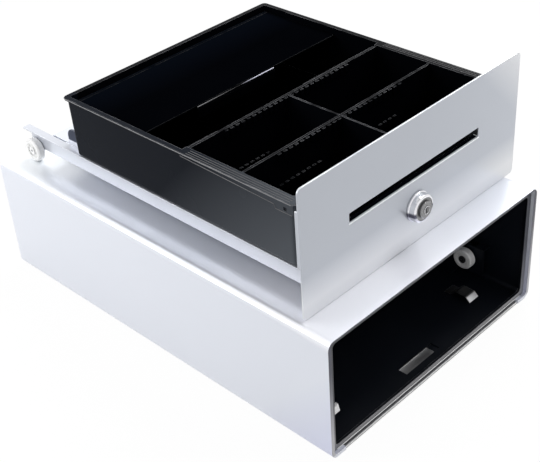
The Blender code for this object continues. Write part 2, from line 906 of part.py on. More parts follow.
def build_latch(housing, looks):
    """Bracket, pivoting hook and its pin behind the closed drawer."""
    outer = bracket_half_gap + sheet / 2
    path = [
        (-outer, bracket_height), (-outer, seat_z + sheet / 2), (outer, seat_z + sheet / 2),
        (outer, bracket_height),
    ]
    bracket = bent_sheet(
        "latch_bracket", path, "XZ", rear_y - bracket_front_inset, rear_y - bracket_back_inset, sheet,
        housing, looks["zinc"], sheet,
    )
    pin_hole = rod(
        "bracket_hole", (latch_x, latch_pivot_y, latch_pivot_z), 0, latch_pin_radius + pin_hole_gap,
        over / 4,
        housing, None, small_steps,
    )
    cut(bracket, pin_hole)
    side = bracket_half_gap + sheet + pin_side_gap
    tip = side + latch_pin_head_height
    pin = [
        (0, tip), (latch_pin_head, tip), (latch_pin_head, side), (latch_pin_radius, side),
        (latch_pin_radius, -side), (latch_pin_head, -side), (latch_pin_head, -tip), (0, -tip),
    ]
    turned(
        "latch_pin", pin, (latch_x, latch_pivot_y, latch_pivot_z), 0, housing, looks["pin"], small_steps,
    )
    front = latch_pivot_y - latch_reach
    half = latch_arm / 2
    fork_half = plunger_neck_radius + plunger_gap
    fork_start = solenoid_y - fork_half - sheet
    tail_end = fork_start - sheet / 2
    hook_outline = [
        (front, latch_pivot_z + half - latch_tail_step),
        (front, latch_pivot_z - latch_nose_drop / 2),
        (front + latch_nose_length / 3, latch_pivot_z - latch_nose_drop),
        (front + latch_nose_length, latch_pivot_z - latch_nose_drop),
        (front + latch_nose_length, latch_pivot_z - half),
        (latch_pivot_y - latch_boss, latch_pivot_z - half),
        (latch_pivot_y - latch_boss / 2, latch_pivot_z - latch_boss + sheet),
        (latch_pivot_y + latch_boss / 2, latch_pivot_z - latch_boss + sheet),
        (latch_pivot_y + latch_boss, latch_pivot_z - half + latch_tail_step),
        (tail_end, latch_pivot_z - half + 2 * latch_tail_step),
        (tail_end, latch_pivot_z + half - 2 * latch_tail_step),
        (latch_pivot_y + latch_boss, latch_pivot_z + half - latch_tail_step),
        (latch_pivot_y + latch_boss / 2, latch_pivot_z + latch_boss - sheet),
        (latch_pivot_y - latch_boss / 2, latch_pivot_z + latch_boss - sheet),
        (latch_pivot_y - latch_boss, latch_pivot_z + half),
    ]
    hook = plate(
        "latch_hook", hook_outline, "YZ", -latch_thickness / 2, latch_thickness / 2, housing, looks["zinc"],
    )
    bore = rod(
        "hook_bore", (latch_x, latch_pivot_y, latch_pivot_z), 0, latch_pin_radius + pin_clearance,
        over / 10,
        housing, None, round_steps,
    )
    fork = block(
        "hook_fork", (-fork_half, fork_start, latch_pivot_z - latch_arm),
        (fork_half, over, latch_pivot_z + latch_arm),
        housing,
    )
    widen = block(
        "hook_fork_cheeks", (-fork_half - fork_cheek, fork_start - fork_cheek, latch_pivot_z - half),
        (fork_half + fork_cheek, latch_pivot_y + latch_tail, latch_pivot_z + half), housing,
    )
    weld_on(hook, widen)
    cut(hook, bore, fork)
    pivot_at(hook, (latch_x, latch_pivot_y, latch_pivot_z))


def build_solenoid(housing, looks):
    """Upright release solenoid: frame, wound coil, plunger and its return spring."""
    low = seat_z
    top = low + solenoid_frame_height
    reach = solenoid_half_width - solenoid_sheet / 2
    mid_low = low + solenoid_sheet / 2
    mid_top = top - solenoid_sheet / 2
    path = [(-reach, mid_top), (-reach, mid_low), (reach, mid_low), (reach, mid_top)]
    frame = bent_sheet(
        "solenoid_frame", path, "XZ", solenoid_y - solenoid_half_depth, solenoid_y + solenoid_half_depth,
        solenoid_sheet, housing, looks["zinc"],
    )
    lid = block(
        "solenoid_lid", (-reach, solenoid_y - solenoid_half_depth, mid_top - solenoid_sheet / 2),
        (reach, solenoid_y + solenoid_half_depth, mid_top + solenoid_sheet / 2), housing,
    )
    passage = rod(
        "solenoid_passage", (latch_x, solenoid_y, mid_top), 2, plunger_radius + plunger_gap,
        solenoid_sheet * 3,
        housing, None, round_steps,
    )
    weld_on(frame, lid)
    cut(frame, passage)

    coil_low = low + solenoid_sheet + seat_gap
    coil_top = coil_low + coil_height
    bore = plunger_radius + plunger_gap
    coil = [
        (bore, coil_top), (coil_flange_radius, coil_top), (coil_flange_radius, coil_top - coil_bobbin),
        (coil_radius, coil_top - coil_bobbin), (coil_radius, coil_low + coil_bobbin),
        (coil_flange_radius, coil_low + coil_bobbin), (coil_flange_radius, coil_low), (bore, coil_low),
    ]
    turned(
        "solenoid_coil", coil, (latch_x, solenoid_y, 0), 2, housing, looks["copper"], round_steps, False, True,
    )

    head_low = latch_pivot_z + latch_arm / 2 + fork_play
    neck_low = latch_pivot_z - latch_arm / 2 - fork_play
    collar_low = neck_low - plunger_collar_height
    plunger = [
        (0, head_low + plunger_head_height), (plunger_radius, head_low + plunger_head_height),
        (plunger_radius, head_low), (plunger_neck_radius, head_low), (plunger_neck_radius, neck_low),
        (plunger_collar_radius, neck_low), (plunger_collar_radius, collar_low),
        (plunger_radius, collar_low),
        (plunger_radius, plunger_inside), (0, plunger_inside),
    ]
    turned("solenoid_plunger", plunger, (latch_x, solenoid_y, 0), 2, housing, looks["zinc"], round_steps)

    spring_low = top + seat_gap + spring_wire
    spring_high = collar_low - seat_gap - spring_wire
    points = []
    count = spring_turns * spring_points
    for index in range(count + 1):
        angle = 2 * math.pi * index / spring_points
        height = spring_low + (spring_high - spring_low) * index / count
        points.append(
            (spring_coil_radius * math.cos(angle), solenoid_y + spring_coil_radius * math.sin(angle), height)
        )
    wire("plunger_spring", points, spring_wire, housing, looks["zinc"])
    gap = (spring_high - spring_low) / spring_turns - 2 * spring_wire
    print("plunger spring: least gap between turns, mm", round(gap * 1000, 3))


def build_ejector(housing, looks):
    """Lever on an upright post, with a wound spring above it, that throws the drawer forward."""
    spot = (ejector_x, ejector_y, 0)
    foot_top = seat_z + ejector_post_foot_height
    post = [
        (0, seat_z + ejector_post_height), (ejector_post_radius, seat_z + ejector_post_height),
        (ejector_post_radius, foot_top), (ejector_post_foot, foot_top), (ejector_post_foot, seat_z),
        (0, seat_z),
    ]
    turned("ejector_post", post, spot, 2, housing, looks["pin"], round_steps)
    low = ejector_lever_z
    high = ejector_lever_z + ejector_lever_height
    hub = rod(
        "ejector_lever", (ejector_x, ejector_y, (low + high) / 2), 2, ejector_hub_radius, high - low,
        housing,
        looks["zinc"], round_steps,
    )
    half = ejector_lever_thickness / 2
    arm = block(
        "ejector_arm", (ejector_x - half, ejector_y - ejector_lever_length, low + sheet),
        (ejector_x + half, ejector_y, high - sheet), housing,
    )
    pad = rod(
        "ejector_pad", (ejector_x, ejector_y - ejector_lever_length, (low + high) / 2), 2,
        ejector_pad_radius,
        high - low - sheet, housing, None, round_steps,
    )
    bore = rod(
        "ejector_bore", (ejector_x, ejector_y, (low + high) / 2), 2, ejector_post_radius + pin_clearance,
        over / 4, housing, None, round_steps,
    )
    lean = Matrix.Rotation(-ejector_lean, 4, "Z")
    about_post = Matrix.Translation((ejector_x, ejector_y, 0))
    for piece in (arm, pad):
        piece.data.transform(about_post @ lean @ about_post.inverted())
    weld_on(hub, arm, pad)
    cut(hub, bore)
    pivot_at(hub, (ejector_x, ejector_y, (low + high) / 2))
    radius = ejector_post_radius + ejector_spring_wire + ejector_spring_gap
    start = high + seat_gap + ejector_spring_wire
    pitch = 2 * ejector_spring_wire + ejector_spring_gap
    count = ejector_spring_turns * spring_points
    points = [(ejector_x + radius, ejector_y + ejector_spring_leg, start)]
    for index in range(count + 1):
        angle = -2 * math.pi * index / spring_points
        height = start + pitch * index / spring_points
        points.append((ejector_x + radius * math.cos(angle), ejector_y + radius * math.sin(angle), height))
    points.append((points[-1][0], ejector_y - ejector_spring_leg, points[-1][2]))
    wire("ejector_spring", points, ejector_spring_wire, housing, looks["zinc"])
    print("ejector spring: least gap between turns, mm", round(ejector_spring_gap * 1000, 3))


def build_switch(housing, looks):
    """Small switch on a post that feels whether the drawer is closed."""
    low_x = switch_x - switch_width / 2
    body = block(
        "drawer_switch", (low_x, switch_y - switch_length / 2, switch_z),
        (low_x + switch_width, switch_y + switch_length / 2, switch_z + switch_height), housing,
        looks["socket"],
    )
    post = block(
        "switch_post", (low_x, switch_y - switch_post_width / 2, seat_z),
        (low_x + switch_width, switch_y + switch_post_width / 2, switch_z + sheet), housing,
    )
    hinge_y = switch_y - switch_length / 2 - switch_barrel_radius - seat_gap
    hinge_z = switch_z + switch_height - switch_barrel_radius
    weld_on(body, post)
    barrel = rod(
        "switch_lever", (switch_x, hinge_y, hinge_z), 0, switch_barrel_radius, switch_lever_width, housing,
        looks["zinc"], small_steps,
    )
    tip_y = hinge_y - switch_lever_length * math.cos(switch_rest)
    tip_z = hinge_z + switch_lever_length * math.sin(switch_rest)
    blade = bent_sheet(
        "switch_blade", [(hinge_y, hinge_z), (tip_y, tip_z)], "YZ", switch_x - switch_lever_width / 2,
        switch_x + switch_lever_width / 2, switch_lever_thickness, housing,
    )
    weld_on(barrel, blade)
    pivot_at(barrel, (switch_x, hinge_y, hinge_z))


def build_panel(drawer, looks):
    half = panel_width / 2
    panel = block(
        "drawer_panel", (-half, 0, 0), (half, sheet, panel_height), drawer, looks["panel"], 1, panel_corner,
    )
    returns = []
    for side, name in ((-1, "left"), (1, "right")):
        low_x, high_x = sorted((side * half, side * (half - sheet)))
        returns.append(block(
            "panel_return_" + name, (low_x, sheet / 2, panel_return_low),
            (high_x, sheet + panel_return_depth, panel_height - panel_return_drop), drawer,
        ))
    lip = block(
        "slot_lip", (-slot_left - sheet, sheet / 2, slot_low - sheet),
        (slot_right + sheet, slot_lip_depth, slot_low),
        drawer,
    )
    weld_on(panel, *returns, lip)
    slot = block(
        "media_slot", (-slot_left, -over, slot_low), (slot_right, over, slot_high), drawer, None, 1,
        slot_end_round,
    )
    hole = rod(
        "lock_hole", (lock_x, 0, lock_z), 1, lock_body_radius + lock_hole_gap, over / 4, drawer, None,
        lock_steps,
    )
    cut(panel, slot, hole)


def build_lock(drawer, looks):
    """Cylinder lock: barrel, nut, turning plug, cam and cam screw."""
    spot = (lock_x, 0, lock_z)
    ring_back = seat_gap
    bore = plug_radius + plug_clearance
    barrel = [
        (bore, lock_protrusion - lock_face_depth), (lock_face_radius, lock_protrusion - lock_face_depth),
        (lock_face_radius, lock_protrusion), (lock_rim_radius - lock_rim_edge, lock_protrusion),
        (lock_rim_radius, lock_protrusion - lock_rim_edge),
        (lock_barrel_radius, ring_back + lock_base_height),
        (lock_base_radius - lock_rim_edge / 2, ring_back + lock_base_height),
        (lock_base_radius, ring_back + lock_base_height - lock_rim_edge / 2), (lock_base_radius, ring_back),
        (lock_body_radius, ring_back), (lock_body_radius, -lock_body_back), (bore, -lock_body_back),
    ]
    turned("lock_barrel", barrel, spot, 1, drawer, looks["chrome"], lock_steps, True, True)
    nut_front = sheet + seat_gap
    points = arc((lock_x, lock_z), nut_half_across / math.cos(math.pi / 6), 0, 300, 5)
    nut = plate("lock_nut", points, "XZ", nut_front, nut_front + nut_thickness, drawer, looks["zinc"])
    nut_bore = rod(
        "nut_bore", (lock_x, nut_front, lock_z), 1, lock_body_radius + lock_hole_gap, over / 4, drawer,
        None,
        lock_steps,
    )
    cut(nut, nut_bore)
    plug_back = -lock_body_back - plug_tail_gap
    cam_front = plug_back - cam_gap
    cam_back = cam_front - cam_thickness
    plug = [
        (0, plug_protrusion), (plug_radius - plug_edge, plug_protrusion),
        (plug_radius, plug_protrusion - plug_edge),
        (plug_radius, plug_back), (plug_boss_radius, plug_back), (plug_boss_radius, cam_back),
        (cam_shank_radius + pin_hole_gap, cam_back),
        (cam_shank_radius + pin_hole_gap, cam_back + cam_shank_length + seat_gap),
        (0, cam_back + cam_shank_length + seat_gap),
    ]
    made = turned("lock_plug", plug, spot, 1, drawer, looks["chrome"], lock_steps, True)
    keyway = block(
        "keyway", (lock_x - keyway_width / 2, -plug_protrusion - sheet, lock_z - keyway_height / 2),
        (lock_x + keyway_width / 2, keyway_depth - plug_protrusion, lock_z + keyway_height / 2), drawer,
    )
    cut(made, keyway)
    pivot_at(made, spot)
    outline = arc((lock_x, lock_z), cam_half_width, 90, 270, 8)
    outline += [
        (lock_x + cam_reach - cam_half_width, lock_z - cam_half_width),
        (lock_x + cam_reach, lock_z - cam_half_width / 2),
        (lock_x + cam_reach, lock_z + cam_half_width / 2),
        (lock_x + cam_reach - cam_half_width, lock_z + cam_half_width),
    ]
    cam = plate("lock_cam", outline, "XZ", -cam_front, -cam_back, drawer, looks["zinc"])
    cam_hole = rod(
        "cam_hole", (lock_x, -cam_front, lock_z), 1, plug_boss_radius + pin_hole_gap, over / 4, drawer,
        None,
        round_steps,
    )
    cut(cam, cam_hole)
    pivot_at(cam, spot)
    head_front = cam_back - cam_gap
    screw = [
        (0, cam_back + cam_shank_length), (cam_shank_radius, cam_back + cam_shank_length),
        (cam_shank_radius, head_front), (cam_screw_radius, head_front),
        (cam_screw_radius, head_front - cam_screw_height), (0, head_front - cam_screw_height),
    ]
    made = turned("cam_screw", screw, spot, 1, drawer, looks["zinc"], round_steps, True)
    pivot_at(made, spot)


def build_rail(side, name, drawer, looks):
    web_x = side * (rail_web_x - sheet / 2)
    top_z = rail_top - sheet / 2
    path = [(web_x, rail_bottom), (web_x, top_z), (side * (rail_web_x + rail_flange), top_z)]
    front = sheet + seat_gap
    tab_front = rail_rear - rail_tab_front_inset
    tab_back = rail_rear - rail_tab_back_inset
    rail = bent_sheet(
        "side_rail_" + name, path, "XZ", front, rail_rear, sheet, drawer, looks["panel"], rail_bend,
    )
    low_x, high_x = sorted((side * rail_web_x, side * (rail_web_x - sheet)))
    lug = rod(
        "rail_lug_" + name, (web_x, wheel_y, wheel_radius), 0, rail_lug_radius, sheet, drawer, None,
        round_steps,
    )
    tab = block(
        "rail_tab_" + name, (low_x, tab_front, rail_top - rail_bend - sheet),
        (high_x, tab_back, rail_tab_top),
        drawer, None, 0, rail_tab_round, bend_steps + 2,
        lambda spot: spot.z > rail_top and spot.y > (tab_front + tab_back) / 2,
    )
    hole = rod(
        "rail_hole_" + name, (web_x, wheel_y, wheel_radius), 0, pin_radius + pin_hole_gap, over / 10,
        drawer,
        None, small_steps,
    )
    weld_on(rail, lug, tab)
    cut(rail, hole)

    inner = rail_web_x + wheel_web_gap
    outer = inner + wheel_width
    bore = pin_radius + pin_clearance
    profile = [
        (bore, outer - wheel_dish_depth), (wheel_dish_radius - wheel_dish_depth, outer - wheel_dish_depth),
        (wheel_dish_radius, outer), (wheel_radius - wheel_edge, outer), (wheel_radius, outer - wheel_edge),
        (wheel_radius, inner + wheel_edge), (wheel_radius - wheel_edge, inner), (bore, inner),
    ]
    spot = (0, wheel_y, wheel_radius)
    wheel = turned(
        "rear_wheel_" + name, profile, spot, 0, drawer, looks["nylon"], wheel_steps, side < 0, True,
    )
    pivot_at(wheel, (side * (inner + outer) / 2, wheel_y, wheel_radius))
    head = outer - wheel_dish_depth + pin_side_gap
    back = rail_web_x - sheet - pin_side_gap
    pin = [
        (0, head + pin_head_height), (pin_head_radius, head + pin_head_height), (pin_head_radius, head),
        (pin_radius, head), (pin_radius, back), (pin_head_radius, back),
        (pin_head_radius, back - pin_head_height), (0, back - pin_head_height),
    ]
    turned("wheel_pin_" + name, pin, spot, 0, drawer, looks["pin"], round_steps, side < 0)


def build_pan(drawer, looks):
    """Sheet pan between the rails, with the raised deck behind the tray, and the striker on it."""
    half = rail_web_x - sheet - seat_gap
    low = rail_bottom + sheet / 2
    high = rail_top - sheet / 2
    path = [
        (pan_front, low + pan_side_lip), (pan_front, low), (pan_riser_y, low), (pan_riser_y, high),
        (pan_rear - sheet / 2, high), (pan_rear - sheet / 2, high - pan_rear_drop),
    ]
    pan = bent_sheet(
        "drawer_pan", path, "YZ", -half, half, sheet, drawer, looks["panel"], pan_bend,
    )
    side_low = rail_bottom
    for side, name in ((-1, "left"), (1, "right")):
        low_x, high_x = sorted((side * half, side * (half - sheet)))
        lip = block(
            "pan_side_" + name, (low_x, pan_front, side_low + sheet / 2),
            (high_x, pan_riser_y, side_low + pan_side_lip + sheet), drawer,
        )
        weld_on(pan, lip)
    cam_back = lock_body_back + plug_tail_gap + 2 * cam_gap + cam_thickness + cam_screw_height
    notch = block(
        "pan_cam_notch", (lock_x - cam_half_width - cam_notch_gap, -over, -over),
        (lock_x + cam_reach, cam_back + cam_notch_gap, over), drawer,
    )
    cut(pan, notch)
    foot_z = rail_top + seat_gap + sheet / 2
    upright = pan_rear - striker_setback
    path = [(upright - striker_foot, foot_z), (upright, foot_z), (upright, striker_top)]
    bent_sheet(
        "striker", path, "YZ", -striker_half_width, striker_half_width, sheet, drawer, looks["zinc"], sheet,
    )


def tray_shell(tray_group, looks):
    """Open moulded shell of the insert tray with its rim."""
    base = rail_top + seat_gap
    half_top = tray_width / 2 - tray_lip
    half_low = half_top - tray_draft
    rim_low = tray_rim_top - tray_rim_thickness
    data = bpy.data.meshes.new("insert_tray")
    shape = bmesh.new()
    bmesh.ops.create_cube(shape, size=1.0)
    for vert in shape.verts:
        upper = vert.co.z > 0
        half = half_top if upper else half_low
        inset = tray_lip if upper else tray_lip + tray_draft
        vert.co.x = half if vert.co.x > 0 else -half
        vert.co.y = tray_rear - inset if vert.co.y > 0 else tray_front + inset
        vert.co.z = tray_rim_top - skirt_step if upper else base
    upright = [edge for edge in shape.edges if abs(edge.verts[0].co.z - edge.verts[1].co.z) > rim_low - base]
    bmesh.ops.bevel(
        shape, geom=upright, offset=tray_corner, offset_type="OFFSET", segments=bend_steps,
        profile=half_share, affect="EDGES", clamp_overlap=False,
    )
    foot = [edge for edge in shape.edges if max(vert.co.z for vert in edge.verts) < base + tray_floor]
    bmesh.ops.bevel(
        shape, geom=foot, offset=tray_foot_round, offset_type="OFFSET", segments=bend_steps,
        profile=half_share, affect="EDGES", clamp_overlap=False,
    )
    bmesh.ops.recalc_face_normals(shape, faces=shape.faces)
    shape.to_mesh(data)
    shape.free()
    tray = add_object("insert_tray", data, tray_group, looks["tray"])
    rim = block(
        "tray_rim", (-tray_width / 2, tray_front, rim_low), (tray_width / 2, tray_rear, tray_rim_top),
        tray_group, None, 2, tray_corner,
    )
    weld_on(tray, rim)
    return tray


def comb(name, wall_y, facing, top, start, end, tray_group):
    """Row of teeth on a wall, in step with the coin dividers, between two stations across the tray."""
    first = math.ceil((start - divider_x) / comb_pitch - half_share)
    last = math.floor((end - divider_x) / comb_pitch - half_share)
    left = divider_x + (first + half_share) * comb_pitch - comb_tooth / 2
    low_y, high_y = sorted((wall_y - facing * sheet / 4, wall_y + facing * comb_depth))
    tooth = block(
        "comb_" + name, (left, low_y, top - comb_height), (left + comb_tooth, high_y, top), tray_group,
    )
    row = tooth.modifiers.new("Row", "ARRAY")
    row.count = last - first + 1
    row.use_relative_offset = False
    row.use_constant_offset = True
    row.constant_offset_displace = (comb_pitch, 0, 0)
    return tooth


def build_tray(tray_group, looks):
    tray = tray_shell(tray_group, looks)
    base = rail_top + seat_gap
    half = tray_width / 2
    rear_half = half - tray_rear_rim
    coin_half = half - tray_side_rim
    rim_low = tray_rim_top - tray_rim_thickness
    floor = base + tray_floor

    # Skirt along both sides of the coin section, deeper towards the panel, with a slotted lug at its end
    skirt_top = tray_rim_top - skirt_step
    lug_end = tray_front + skirt_lug_length
    outline = [
        (tray_front + skirt_step, skirt_top), (tray_step_y, skirt_top),
        (tray_step_y, tray_rim_top - skirt_rear_height), (lug_end, tray_rim_top - skirt_front_height),
        (lug_end, tray_rim_top - skirt_lug_height + skirt_lug_round),
        (lug_end - skirt_lug_round, tray_rim_top - skirt_lug_height),
        (tray_front + skirt_step, tray_rim_top - skirt_lug_height),
    ]
    slot_z = tray_rim_top - skirt_slot_drop
    for side, name in ((-1, "left"), (1, "right")):
        low_x, high_x = sorted((side * (half - tray_lip - tray_wall), side * (half + skirt_step)))
        skirt = plate("skirt_" + name, outline, "YZ", low_x, high_x, tray_group)
        weld_on(tray, skirt)
        low_x, high_x = sorted((side * (half - skirt_slot_depth), side * (half + sheet)))
        window = block(
            "skirt_slot_" + name, (low_x, skirt_slot_y, slot_z - skirt_slot_height / 2),
            (high_x, skirt_slot_y + skirt_slot_length, slot_z + skirt_slot_height / 2), tray_group,
        )
        cut(tray, window)

    # Wells: bill section behind, coin section in front
    bill_front = tray_step_y + bill_divider_thickness
    bill_well = block(
        "bill_well", (-rear_half, bill_front, floor), (rear_half, bill_rear, over), tray_group, None, 2,
        tray_corner / 2, bend_steps, lambda spot: spot.y > bill_rear - tray_wall,
    )
    back_row = block(
        "coin_well_back", (-coin_half, coin_rib_y + coin_rib_thickness / 2, floor),
        (coin_half, tray_step_y, over), tray_group,
    )
    front_row = block(
        "coin_well_front", (-coin_half, coin_front, floor),
        (coin_half, coin_rib_y - coin_rib_thickness / 2, over),
        tray_group, None, 2, tray_corner / 2, bend_steps, lambda spot: spot.y < coin_front + tray_wall,
    )
    rib_top = block(
        "coin_rib_top", (-coin_half, coin_rib_y - coin_rib_thickness, tray_rim_top - coin_rib_drop),
        (coin_half, coin_rib_y + coin_rib_thickness, over), tray_group,
    )
    wall_top = block(
        "bill_wall_top",
        (-coin_half, tray_step_y - bill_divider_thickness, tray_rim_top - bill_divider_drop),
        (coin_half, tray_step_y + 2 * bill_divider_thickness, over), tray_group,
    )
    cut(tray, bill_well, back_row, front_row, rib_top, wall_top)

    # Hollow under the wide rim beside the coin wells
    for side, name in ((-1, "left"), (1, "right")):
        outer = half - tray_lip - tray_draft - tray_wall
        low_x, high_x = sorted((side * (coin_half + tray_wall), side * outer))
        hollow = block(
            "under_rim_" + name, (low_x, coin_front, -over), (high_x, tray_step_y, rim_low), tray_group,
        )
        cut(tray, hollow)

    # Notched combs that hold the coin dividers, and the lower rows of teeth
    comb_top = tray_rim_top - comb_drop - bill_divider_drop
    rib_back = coin_rib_y + coin_rib_thickness / 2
    rib_face = coin_rib_y - coin_rib_thickness / 2
    weld_on(
        tray,
        comb("rear", tray_step_y, -1, comb_top, comb_left, comb_right, tray_group),
        comb("middle_back", rib_back, 1, comb_top, comb_left, comb_right, tray_group),
        comb("middle_front", rib_face, -1, comb_top, comb_left, comb_right, tray_group),
        comb("front", coin_front, 1, comb_top, comb_left, comb_right, tray_group),
        comb("low_left", rib_face, -1, low_comb_z, low_comb_left, low_comb_left_end, tray_group),
        comb("low_right", rib_face, -1, low_comb_z, low_comb_right, low_comb_right_end, tray_group),
        comb("foot", tray_step_y, -1, foot_comb_z, foot_comb_left, foot_comb_right, tray_group),
    )

    # Ledges behind the wall of the bill section
    ledge_front = bill_front - sheet / 4
    ledge_back = bill_front + rear_ledge_setback
    ledge_top = tray_rim_top - rear_ledge_drop
    left = block(
        "bill_ledge_left", (-rear_half - sheet / 2, ledge_front, ledge_top - tray_wall),
        (-rear_ledge_left_end, ledge_back, ledge_top), tray_group,
    )
    right = block(
        "bill_ledge_right", (rear_ledge_right_start, ledge_front, ledge_top - tray_wall),
        (rear_half + sheet / 2, ledge_back, ledge_top), tray_group,
    )
    weld_on(tray, left, right)

    # Sockets for the flap's pins
    for side, name in ((-1, "left"), (1, "right")):
        socket = rod(
            "flap_socket_" + name,
            (side * (rear_half + flap_pin_socket_depth / 2), flap_hinge_y, flap_hinge_z),
            0, flap_pin_radius + flap_pin_gap, flap_pin_socket_depth + sheet / 2, tray_group, None,
            small_steps,
        )
        cut(tray, socket)
    return floor


def build_flap(tray_group, looks):
    half = tray_width / 2 - tray_rear_rim - flap_side_gap
    flap = block(
        "bill_flap", (-half, flap_front, flap_top_z - flap_thickness), (half, flap_hinge_y, flap_top_z),
        tray_group, looks["tray"], 2, flap_corner, bend_steps, lambda spot: spot.y < flap_front + flap_corner,
    )
    level = flap_top_z - flap_thickness / 2
    lip_y = flap_front + flap_thickness / 2
    path = [
        (flap_front + 2 * flap_lip_bend, level), (lip_y - flap_thickness, level),
        (lip_y - flap_thickness, level - flap_lip_height),
    ]
    lip = bent_sheet(
        "flap_lip", path, "YZ", -flap_lip_left, flap_lip_right, flap_thickness, tray_group, None,
        flap_lip_bend,
    )
    barrel = rod(
        "flap_barrel", (0, flap_hinge_y, flap_hinge_z), 0, flap_barrel_radius, 2 * half, tray_group, None,
        small_steps,
    )
    pins = rod(
        "flap_pins", (0, flap_hinge_y, flap_hinge_z), 0, flap_pin_radius,
        2 * (half + flap_side_gap + flap_pin_reach), tray_group, None, small_steps,
    )
    weld_on(flap, lip, barrel, pins)
    pivot_at(flap, (0, flap_hinge_y, flap_hinge_z))


def build_dividers(floor, tray_group, looks):
    half = divider_thickness / 2
    rows = (
        ("coin_divider_front", coin_front, coin_rib_y - coin_rib_thickness / 2),
        ("coin_divider_rear", coin_rib_y + coin_rib_thickness / 2, tray_step_y),
    )
    for name, near, far in rows:
        top = tray_rim_top - divider_drop
        block(
            name, (divider_x - half, near + divider_gap, floor + divider_foot_gap),
            (divider_x + half, far - divider_gap, top), tray_group, looks["tray"],
        )


def shade_round(names):
    """Shades the turned and rounded pieces smooth, with sharp edges kept sharp."""
    for name in names:
        data = bpy.data.objects[name].data
        data.shade_smooth()
        data.set_sharp_from_angle(angle=math.pi / 6)


def main():
    global collection, cutters
    clear_scene()
    collection = new_collection("Cash drawer")
    cutters = new_collection("Cutters")
    cutters.hide_render = True
    looks = {
        "paint": material("cover_paint", paint_colour, satin_share, painted_share),
        "panel": material("drawer_paint", panel_colour, satin_share, painted_share),
        "frame": material("frame_steel", frame_colour, satin_share, bare_share),
        "plate": material("bottom_paint", plate_colour, matt_share, plain_share),
        "chassis": material("chassis_black", chassis_colour, matt_share, plain_share),
        "zinc": material("zinc_steel", zinc_colour, satin_share, bare_share),
        "chrome": material("lock_chrome", chrome_colour, gloss_share, bare_share),
        "tray": material("tray_plastic", tray_colour, gloss_share, plain_share),
        "nylon": material("white_nylon", nylon_colour, matt_share, plain_share),
        "pin": material("dark_pin", dark_pin_colour, satin_share, bare_share),
        "copper": material("coil_winding", copper_colour, satin_share, plain_share),
        "socket": material("socket_plastic", socket_colour, satin_share, plain_share),
    }
    housing = station("housing_group", (0, 0, 0))
    drawer = station(
        "drawer_group", (drawer_x, front_y + drawer_setback, housing_height + drawer_clearance), housing,
    )
    tray_group = station("tray_group", (tray_x, 0, 0), drawer)
    build_housing(housing, looks)
    for side, name in ((-1, "left"), (1, "right")):
        build_runner(side, name, housing, looks)
        build_roller(side, name, housing, looks)
        build_rail(side, name, drawer, looks)
    build_stop_spring(housing, looks)
    build_glide(housing, looks)
    build_latch(housing, looks)
    build_solenoid(housing, looks)
    build_ejector(housing, looks)
    build_switch(housing, looks)
    build_panel(drawer, looks)
    build_lock(drawer, looks)
    build_pan(drawer, looks)
    floor = build_tray(tray_group, looks)
    build_flap(tray_group, looks)
    build_dividers(floor, tray_group, looks)
    shade_round([obj.name for obj in collection.objects if obj.type == "MESH"])
    bpy.context.view_layer.update()


main()
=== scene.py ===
"""Cash drawer: finishes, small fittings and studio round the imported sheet-metal model."""

import math

import bmesh
import bpy
from bpy.props import FloatProperty, FloatVectorProperty, IntProperty, PointerProperty
from mathutils import Matrix, Vector


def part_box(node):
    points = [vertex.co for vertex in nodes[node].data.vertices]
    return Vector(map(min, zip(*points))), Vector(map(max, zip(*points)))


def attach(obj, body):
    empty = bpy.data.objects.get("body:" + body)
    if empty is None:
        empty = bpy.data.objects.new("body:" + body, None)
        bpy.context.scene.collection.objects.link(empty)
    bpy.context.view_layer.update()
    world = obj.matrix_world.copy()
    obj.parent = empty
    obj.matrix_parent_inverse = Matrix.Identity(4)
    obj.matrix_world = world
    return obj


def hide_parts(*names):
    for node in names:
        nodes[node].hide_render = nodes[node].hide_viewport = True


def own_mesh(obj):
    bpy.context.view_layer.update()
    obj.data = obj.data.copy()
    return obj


bl_info = {
    "name": "Cash drawer",
    "version": (1, 0, 0),
    "blender": (4, 5, 0),
    "location": "View3D > Sidebar > Cash drawer",
    "description": "Finishes, fittings and studio for a cash drawer that stands on its housing",
    "category": "Object",
}

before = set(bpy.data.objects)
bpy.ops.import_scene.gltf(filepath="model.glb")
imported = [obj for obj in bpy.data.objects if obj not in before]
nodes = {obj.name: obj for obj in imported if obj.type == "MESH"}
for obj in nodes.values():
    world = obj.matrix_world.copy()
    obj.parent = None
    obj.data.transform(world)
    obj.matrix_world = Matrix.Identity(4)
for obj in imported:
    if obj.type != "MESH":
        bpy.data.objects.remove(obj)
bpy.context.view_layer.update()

# Ways in the frame: the front of the drawer looks along minus Y
RIGHT = Vector((1, 0, 0))
BACK = Vector((0, 1, 0))
UP = Vector((0, 0, 1))
FRONT = -BACK
DOWN = -UP

# Modelling: share of a normal that counts as facing a way, angles of sharp and smooth edges, sides of discs
FACING_SHARE = 0.9
SHARP_ANGLE = math.radians(40)
SMOOTH_ANGLE = math.radians(35)
WELD_DISTANCE = 0.000001
DISC_SIDES = 40
SCREW_SIDES = 28
RIVET_SIDES = 24
WIRE_SIDES = 8

# Materials: samples of the rounded edges, enamel and grain of the winding, and distance between nodes
BEVEL_SAMPLES = 6
COAT_SHARE = 0.3
COAT_ROUGHNESS = 0.1
WINDING_STRETCH = (1, 1, 6)
NODE_PITCH = 220
GREY = (0.5, 0.5, 0.5, 1)
WHITE = (1, 1, 1, 1)

# Cover: tones of its painted shadow, slant of the painted light along the roof's front, and shares of its
# height and half depth at which its fades start and end
SHADOW_TONES = (0.86, 0.86, 0.96)
SHADOW_SHARES = (0.75, 0.15)
ROOF_SLANT = 0.6
ROOF_START_SHARE = 0.6
HEM_SHARES = (0.76, 0.18)
